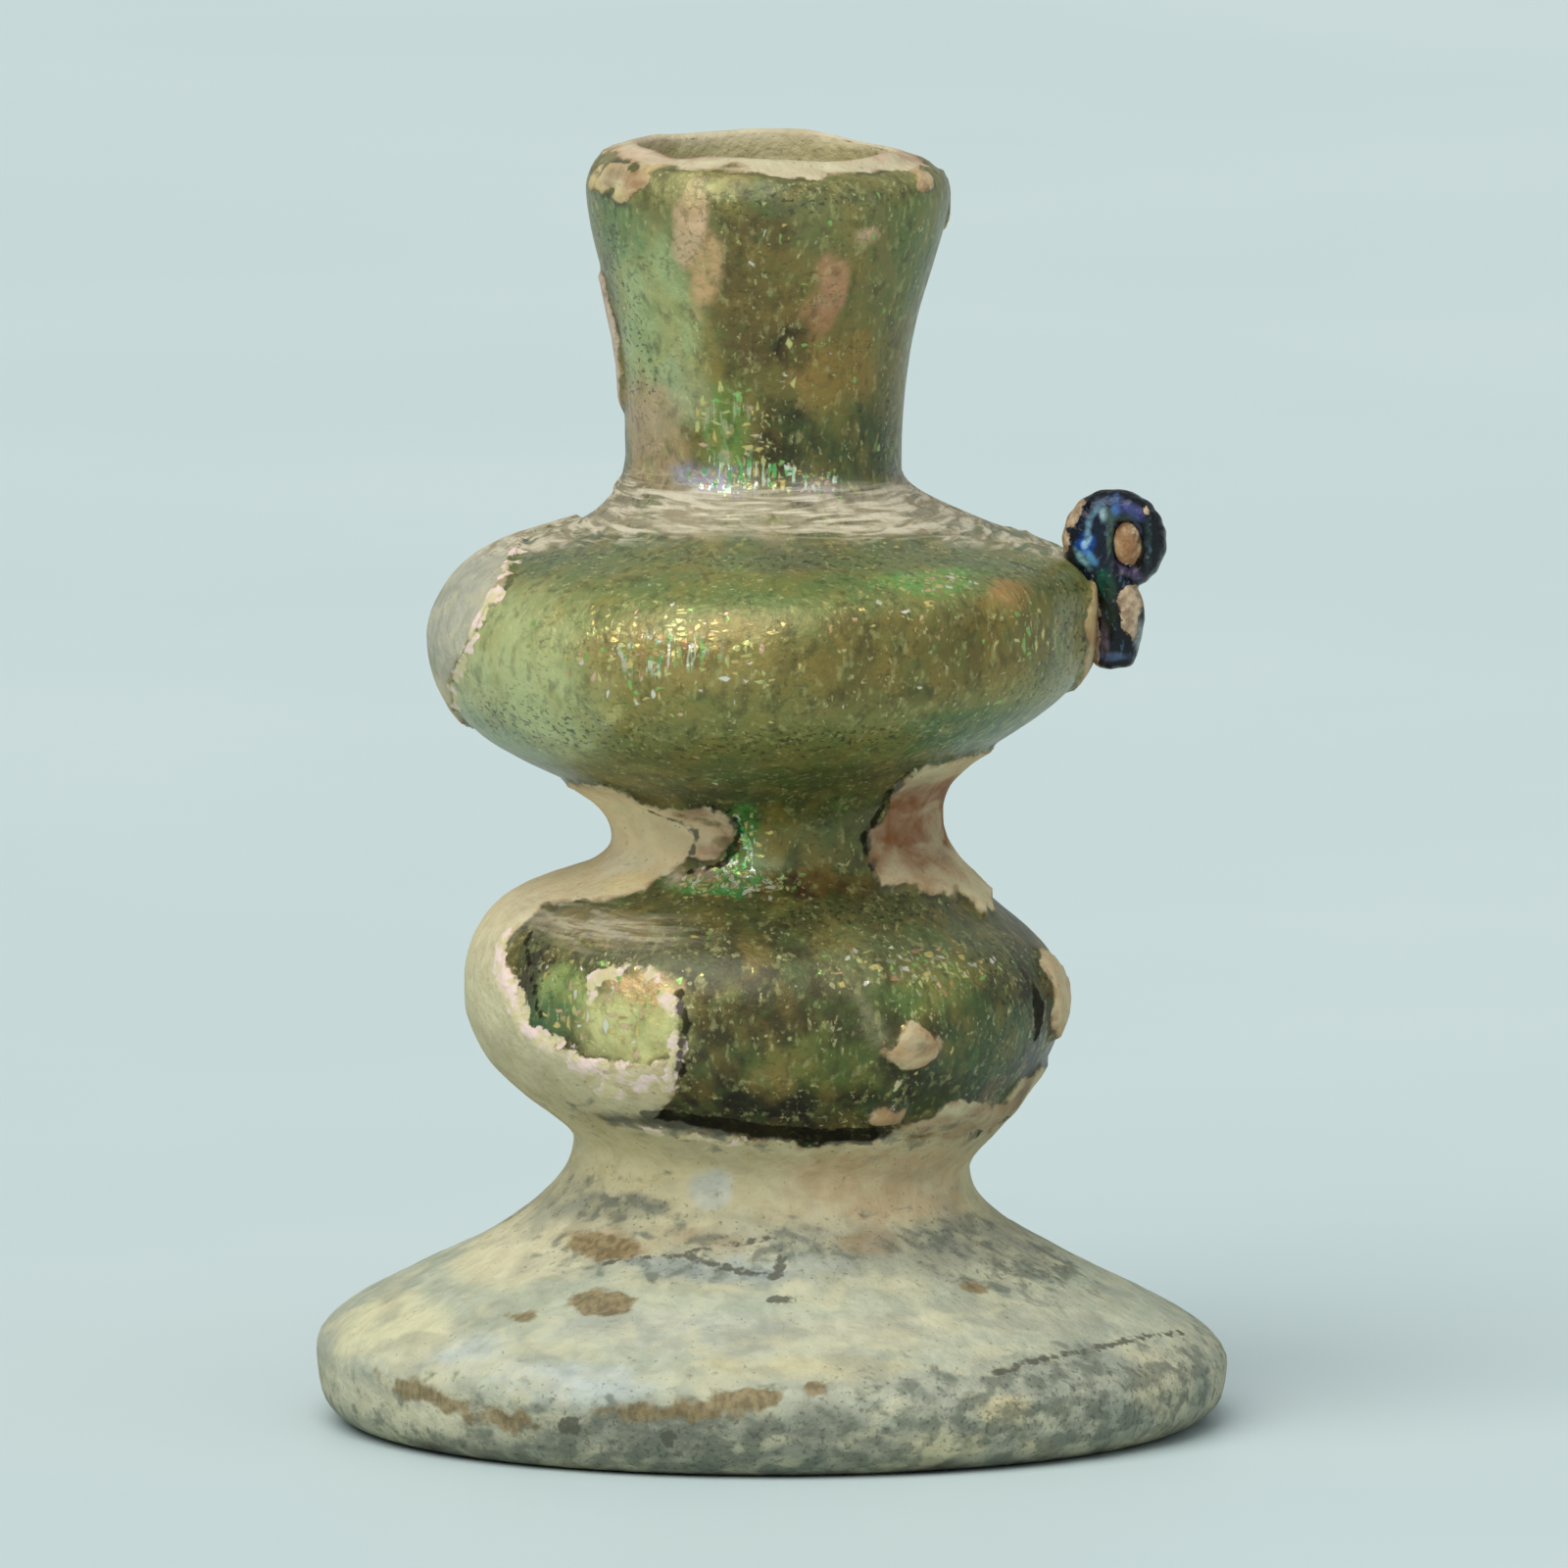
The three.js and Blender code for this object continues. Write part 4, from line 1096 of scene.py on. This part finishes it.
def cloudy(low, high, size, seed, detail=2.0, stretch=(1, 1, 1), warp=0.0):
    """The same noise cut off softly: 0 where it is below low and 1 where it is above high."""
    return between(grain(size, seed, detail, stretch, warp), low, high)


def flakes(size, seed, stretch):
    """Small cells with two random numbers each, and the distance in from each cell's border."""
    found = []
    for feature, output in (("F1", "Color"), ("DISTANCE_TO_EDGE", "Distance")):
        node = tree.nodes.new("ShaderNodeTexVoronoi")
        node.feature = feature
        give(node.inputs["Vector"], object_places(seed, stretch))
        node.inputs["Scale"].default_value = 1 / size
        found.append(node.outputs[output])
    split = tree.nodes.new("ShaderNodeSeparateColor")
    give(split.inputs[0], found[0])
    return split.outputs[0], split.outputs[1], found[1]


print("Finishes are made from attributes, noise and flakes")

# %% [markdown]
# The flask needs one material with two finishes in it, because crust and bare glass interlock down
# to flakes a tenth of a millimetre across. The mesh carries the distance inside the crust. Fine
# noise is added to that distance, and the sum is cut off sharply, which gives a ragged border that
# no mesh could carry. The glass was never clean: it is mottled olive, gold and green.

# %% Cut the crust's ragged border
tree, shader, flask_finish = new_material("weathered_glass")
border = plus(carried("cover"), times_plus(grain(1.2, 1.0, 4.0), 0.9, -0.45))
crust_share = between(border, -0.07, 0.09)
bare_share = minus(1.0, crust_share)
# A dark band on the glass just outside the crust's border: dirt, and a painted shadow of the crust's step.
dirt_and_step_shadow = times(between(border, -0.42, -0.04), bare_share)
dirt_and_step_shadow = times(dirt_and_step_shadow, cloudy(0.46, 0.62, 1.6, 1.5, 2.0))
print("Border noise reaches 0.45 mm to each side")

# %% Mottle the bare glass
glass = carried("glass_tint", "Color")
clouds = cloudy(0.44, 0.66, 1.7, 2.0, 4.0, (1, 1, 0.7), 0.4)
glass = layer(glass, clouds, 0.32, (160, 136, 66))
green_clouds = cloudy(0.48, 0.70, 1.3, 3.0, 4.0, warp=0.4)
glass = layer(glass, green_clouds, 0.3, (94, 122, 62))
dark_clouds = cloudy(0.50, 0.70, 0.8, 4.0, 4.0, (1.3, 1.3, 0.8))
glass = layer(glass, dark_clouds, 0.42, (46, 44, 20))
pale_clouds = cloudy(0.54, 0.72, 0.5, 4.5, 3.0, (1.2, 1.2, 0.7))
glass = layer(glass, pale_clouds, 0.34, (190, 186, 124))
print("Glass is mottled at 1.7, 1.3, 0.8 and 0.5 mm")

# %% Pepper it with dark specks
where_specks = cloudy(0.44, 0.62, 2.2, 5.5, 2.0)
specks = cloudy(0.56, 0.64, 0.3, 5.0, 2.0, (1, 1, 1.5))
where_specks = larger(carried("fleck"), times(where_specks, 0.5))
specks = times(times(specks, where_specks), 0.66)
glass = mixed(specks, glass, shade(34, 34, 20))
# Clusters of pale flecks are painted glints on the glass.
pale_glint_flecks = cloudy(0.60, 0.70, 0.3, 5.8, 2.0, (1.2, 1.2, 0.9))
pale_glint_flecks = times(pale_glint_flecks, cloudy(0.44, 0.60, 1.6, 5.9, 2.0))
glass = layer(glass, pale_glint_flecks, 0.5, (206, 202, 146))
# dirt and painted step shadow along the crust's border
glass = layer(glass, dirt_and_step_shadow, 0.6, (58, 48, 30))
print("Specks, dark and pale, are about 0.3 mm across")

# %% [markdown]
# Weathered glass flakes into thin layers that split light into colours, as oil does on water. On
# this flask it shows as sparkles of pale yellow, gold, green, pink, white and brown, in clusters,
# mostly longer than wide. Real thin layers change with the view. Here each small flake keeps one
# colour from a short list, which looks the same from the front and is kept when the model is
# exported. There are two sets of flakes, upright ones and level ones, and some thin pale strokes.

# %% Scatter the coloured flakes
# Each flake's colour is in part the layers' own iridescent colour and in part a painted glint, fixed in the
# surface's colour.
FLAKE_GLINT_COLOURS = [(0.0, (208, 212, 134)), (0.32, (224, 204, 124)), (0.52, (138, 194, 102)),
                 (0.72, (226, 188, 158)), (0.82, (236, 236, 218)), (0.94, (190, 148, 102))]


def flake_glint_colour(which):
    """One of the listed colours, picked by a number from 0 to 1."""
    ramp = tree.nodes.new("ShaderNodeValToRGB")
    ramp.color_ramp.interpolation = "CONSTANT"
    while len(ramp.color_ramp.elements) < len(FLAKE_GLINT_COLOURS):
        ramp.color_ramp.elements.new(0.5)
    for element, (place, colour) in zip(ramp.color_ramp.elements, FLAKE_GLINT_COLOURS):
        element.position, element.color = place, shade(*colour)
    give(ramp.inputs[0], which)
    return ramp.outputs[0]


def flake_layer(size, seed, stretch, thinning):
    """Where the flakes of one layer are, how far their halo reaches, and their colours."""
    pick, which, from_border = flakes(size, seed, stretch)
    lit = plus(times(carried("gleam"), 0.5), times_plus(grain(1.2, seed + 0.5), 0.7, thinning))
    chosen = between(minus(pick, minus(1.0, lit)), 0.0, 0.03)
    core = times(chosen, between(from_border, 0.08, 0.30))
    halo = times(chosen, between(from_border, 0.0, 0.12))
    return core, halo, flake_glint_colour(which)


upright = flake_layer(0.38, 6.0, (1.35, 1.35, 0.60), -0.48)
level_set = flake_layer(0.34, 9.0, (0.65, 0.65, 1.35), -0.52)
for core, halo, colour in (upright, level_set):
    glass = layer(glass, halo, 0.3, (142, 114, 70))
    glass = mixed(times(core, 0.8), glass, colour)
# Thin green and white strokes where the gleam is strongest are painted glints.
glint_strokes = cloudy(0.53, 0.61, 0.6, 10.0, 2.0, (2.4, 2.4, 0.4))
glint_strokes = times(glint_strokes, between(carried("gleam"), 0.82, 1.1))
glint_stroke_colour = two_tone(cloudy(0.42, 0.56, 0.7, 10.5), (96, 190, 104), (232, 238, 218))
glass = mixed(times(glint_strokes, 0.9), glass, glint_stroke_colour)
flake_share = larger(glint_strokes, larger(upright[0], level_set[0]))
print("Flakes come in", len(FLAKE_GLINT_COLOURS), "colours")

# %% [markdown]
# The crust is a chalky cream layer with a grey-green bloom on the foot, ochre stains where iron
# ran, small pits, and hairline cracks. Each of them is an attribute or a noise that is cut off
# and mixed over the tint.

# %% Colour the crust
crust = carried("crust_tint", "Color")
chalk = cloudy(0.3, 0.7, 1.1, 11.0, 4.0, warp=0.6)
crust = mixed(chalk, mixed(0.16, crust, shade(128, 118, 92)), mixed(0.18, crust, shade(228, 222, 196)))
grey_wash = cloudy(0.42, 0.64, 3.4, 11.5, 4.0, (1, 1, 2.4), 0.4)
crust = mixed(times(grey_wash, times_plus(carried("damp"), 0.38, 0.08)), crust, shade(138, 142, 128))
warm_wash = cloudy(0.44, 0.68, 2.6, 11.8, 4.0, (1, 1, 2.2), 0.4)
crust = layer(crust, warm_wash, 0.4, (214, 206, 168))
print("Crust is washed with chalk, grey and yellow")

# %% Add the bloom, the stains and the pits
bloom_reach = smaller(carried("mottle"), 1.0)
bloom = between(times_plus(bloom_reach, 0.09, grain(1.2, 12.0, 4.0, (1, 1, 1.5), 0.3)), 0.47, 0.67)
crust = layer(crust, bloom, 0.7, (98, 104, 92))
dots = between(times_plus(bloom_reach, 0.05, grain(0.26, 12.5)), 0.60, 0.70)
crust = layer(crust, dots, 0.45, (66, 70, 64))
stain_reach = plus(carried("stain"), times_plus(grain(1.0, 13.0, 4.0), 1.4, -0.62))
stain_share = between(stain_reach, -0.12, 0.22)
stain_clouds = cloudy(0.36, 0.64, 0.6, 13.5, 3.0, (1.6, 1.6, 0.8))
stain_colour = two_tone(stain_clouds, (108, 92, 62), (142, 124, 88))
crust = mixed(times(stain_share, 0.85), crust, stain_colour)
pits = cloudy(0.66, 0.74, 0.26, 14.0)
crust = layer(crust, pits, 0.45, (104, 92, 68))
torn = times(between(border, 0.34, 0.04), cloudy(0.4, 0.6, 0.8, 14.5))
crust = layer(crust, torn, 0.6, (150, 118, 82))
print("Crust carries bloom, stains and pits")

# %% Lay fibres on the shoulder
streaks = grain(1.0, 15.0, 4.0, (0.34, 0.34, 3.4), 0.8)
streak_share = times(carried("fibre"), between(streaks, 0.38, 0.56))
pale_streaks = cloudy(0.36, 0.6, 0.8, 15.5, 4.0, (0.34, 0.34, 3.4), 0.8)
streak_colour = two_tone(pale_streaks, (150, 138, 112), (212, 202, 178))
surface = mixed(crust_share, glass, crust)
surface = mixed(times(streak_share, 0.85), surface, streak_colour)
print("Fibres are ten times as long as they are wide")

# %% Draw the pale and the dark lines
pearl_width = times_plus(grain(1.1, 16.5, 4.0), 2.6, -1.0)
pearl_share = between(minus(pearl_width, carried("pearl")), -0.08, 0.08)
pearl_colour = two_tone(cloudy(0.40, 0.60, 0.8, 17.5), (214, 202, 158), (240, 214, 206))
surface = mixed(times(pearl_share, 0.85), surface, pearl_colour)
# The dark lines are cracks, with a painted step shadow and painted shade under the lower bulge among them.
line_width = times_plus(grain(0.5, 16.0, 3.0), 0.8, -0.22)
line_share = between(minus(line_width, carried("crack_and_shade_lines")), -0.08, 0.08)
line_colour = two_tone(bare_share, (84, 84, 72), (22, 18, 10))
surface = mixed(times(line_share, 0.85), surface, line_colour)
give(shader.inputs["Base Color"], surface)
print("The surface's colour is linked to its shader")

# %% [markdown]
# Gloss does as much as colour to tell glass from crust. The crust is dull and slightly rough. The
# bare glass is satin, with a little metallic shine where its layers have split, and its flakes are
# the smoothest. A bump from the same border makes the crust's edge catch the light.

# %% Give the flask its gloss and its fine relief
satin = times_plus(grain(0.6, 17.0), 0.34, 0.24)
satin = times_plus(flake_share, -0.16, satin)
dull = larger(crust_share, larger(streak_share, pearl_share))
dull = larger(dull, line_share)
give(shader.inputs["Roughness"], times_plus(dull, 0.36, satin))
bright = times(minus(1.0, dull), 0.24)
give(shader.inputs["Metallic"], times_plus(flake_share, 0.3, bright))
give(shader.inputs["Coat Weight"], times(minus(1.0, dull), 0.45))
shader.inputs["Coat Roughness"].default_value = 0.34
shader.inputs["Specular IOR Level"].default_value = 0.12
relief = times(crust_share, 0.5)
relief = times_plus(grain(0.5, 18.0, 3.0), 0.9, relief)
add_bump(relief, 0.16)
flask_mesh.materials.append(flask_finish)
print("Nodes in the flask's material:", len(tree.nodes))

# %% [markdown]
# The trail's glass is nearly black until light catches it, and then deep blue, violet or teal. It
# is the glossiest part of the object. The same crust clings to it in patches, and the earth in the
# eye is a dull beige with an orange side.

# %% Finish the handle
tree, shader, handle_finish = new_material("blue_glass")
handle_border = plus(carried("cover"), times_plus(grain(0.35, 21.0, 4.0), 0.5, -0.25))
handle_crusted = between(handle_border, -0.03, 0.05)
winding = cloudy(0.34, 0.62, 0.4, 22.0, 3.0, warp=0.6)
blue = carried("glass_tint", "Color")
blue = mixed(winding, mixed(0.5, blue, shade(1, 2, 4)), blue)
# painted highlights: small pale blue glints in the trail's colour
glints = cloudy(0.62, 0.70, 0.32, 23.0, 2.0, (1, 1, 0.6))
blue = layer(blue, glints, 0.2, (110, 150, 185))
clinging = two_tone(cloudy(0.3, 0.7, 0.4, 24.0, 4.0), (138, 114, 92), (196, 174, 144))
give(shader.inputs["Base Color"], mixed(handle_crusted, blue, clinging))
give(shader.inputs["Roughness"], times_plus(handle_crusted, 0.55, times_plus(grain(0.5, 25.0), 0.14, 0.07)))
give(shader.inputs["Coat Weight"], times_plus(handle_crusted, -0.15, 0.15))
shader.inputs["Coat Roughness"].default_value = 0.05
shader.inputs["Specular IOR Level"].default_value = 0.25
add_bump(times_plus(handle_crusted, 0.8, grain(0.25, 26.0, 4.0)), 0.1)
handle_mesh.materials.clear()
handle_mesh.materials.append(handle_finish)
print("Handle is finished in", handle_finish.name)

# %% Finish the earth in the eye
tree, shader, earth_finish = new_material("packed_earth")
crumbs = grain(0.4, 31.0, 6.0)
soil = two_tone(between(crumbs, 0.35, 0.68), (128, 98, 70), (206, 184, 148))
orange = cloudy(0.50, 0.60, 0.9, 32.4, 3.0, (1, 1, 0.5))
soil = layer(soil, orange, 0.6, (160, 112, 66))
give(shader.inputs["Base Color"], soil)
give(shader.inputs["Roughness"], times_plus(crumbs, 0.2, 0.68))
add_bump(crumbs, 0.12)
earth_mesh.materials.append(earth_finish)
print("Earth is finished in", earth_finish.name)

# %% [markdown]
# The pieces now take the place of the plain solids. Each one rides on the flask's one body, and
# the solid that it stands for is hidden.

# %% Fit the pieces to the frame
PLACES = [(flask, "weathered_glass", "flask_body"), (handle, "blue_glass", "handle_remains"),
          (earth, "blue_glass", "handle_remains")]
for piece, slot_name, node in PLACES:
    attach(piece, "root")
    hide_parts(node)
print("Pieces:", [piece.name for piece, _, _ in PLACES])

# %% [markdown]
# The flask stands on a plain pale floor that runs back as far as the camera sees, so no wall is
# needed. It is almost matt, with a faint reflection, and its tint is a cool grey.

# %% Lay the floor
FLOOR_RADIUS = 4.0
floor_mesh = mesh_from("floor", lambda shape: bmesh.ops.create_circle(
    shape, cap_ends=True, segments=96, radius=FLOOR_RADIUS))
floor = add_piece("floor", floor_mesh)
tree, shader, floor_finish = new_material("pale_floor")
cast = cloudy(0.3, 0.7, 60.0, 41.0, 3.0)
give(shader.inputs["Base Color"], two_tone(cast, (202, 218, 219), (206, 221, 221)))
shader.inputs["Roughness"].default_value = 0.42
shader.inputs["Specular IOR Level"].default_value = 0.18
floor_mesh.materials.append(floor_finish)
print("Floor is", round(floor.dimensions.x, 1), "m across")

# %% [markdown]
# One broad soft light shines from above and a little to the left in front, as the shine on the
# bulges shows. A weaker one fills the right, and the sky of the scene gives even light from all
# round. Far lights are used, since they light the whole floor alike.
# The camera looks down by about seven degrees from far away, so heights and widths hardly shrink
# with distance, and a long lens fills the frame with the flask.


# %% Set the lights
def soft_sun(name, place, width, power, colour):
    """A far light that covers width degrees of the sky and shines from place to the flask."""
    lamp = bpy.data.lights.new(name, "SUN")
    lamp.angle, lamp.energy, lamp.color = math.radians(width), power, colour
    stand = bpy.data.objects.new(name, lamp)
    stand.location = place
    stand.rotation_mode = "QUATERNION"
    stand.rotation_quaternion = (-stand.location).to_track_quat("-Z", "Y")
    bpy.context.scene.collection.objects.link(stand)
    return stand


soft_sun("key", (-0.45, -0.75, 1.20), 55, 2.45, (1.0, 0.985, 0.96))
soft_sun("fill", (0.9, -0.9, 0.9), 80, 0.45, (0.95, 0.98, 1.0))
world = bpy.data.worlds.new("even_light")
world.use_nodes = True
world.node_tree.nodes["Background"].inputs["Color"].default_value = shade(214, 224, 226)
world.node_tree.nodes["Background"].inputs["Strength"].default_value = 0.5
bpy.context.scene.world = world
bpy.context.scene.view_settings.view_transform = "Standard"
print("Two soft lights and an even sky are set")

# %% Stand the camera
LOOKING_DOWN, DISTANCE, LENS = math.radians(7.35), 2.5, 1229
AIM = (0.00057, 0.0, 0.0299)
camera_data = bpy.data.cameras.new("camera")
camera_data.lens, camera_data.sensor_width, camera_data.clip_end = LENS, 36, 12
camera = bpy.data.objects.new("camera", camera_data)
bpy.context.scene.collection.objects.link(camera)
camera.location = (AIM[0], -math.cos(LOOKING_DOWN) * DISTANCE, AIM[2] + math.sin(LOOKING_DOWN) * DISTANCE)
camera.rotation_euler = (math.pi / 2 - LOOKING_DOWN, 0, 0)
bpy.context.scene.camera = camera
print("Camera stands", DISTANCE, "m away")
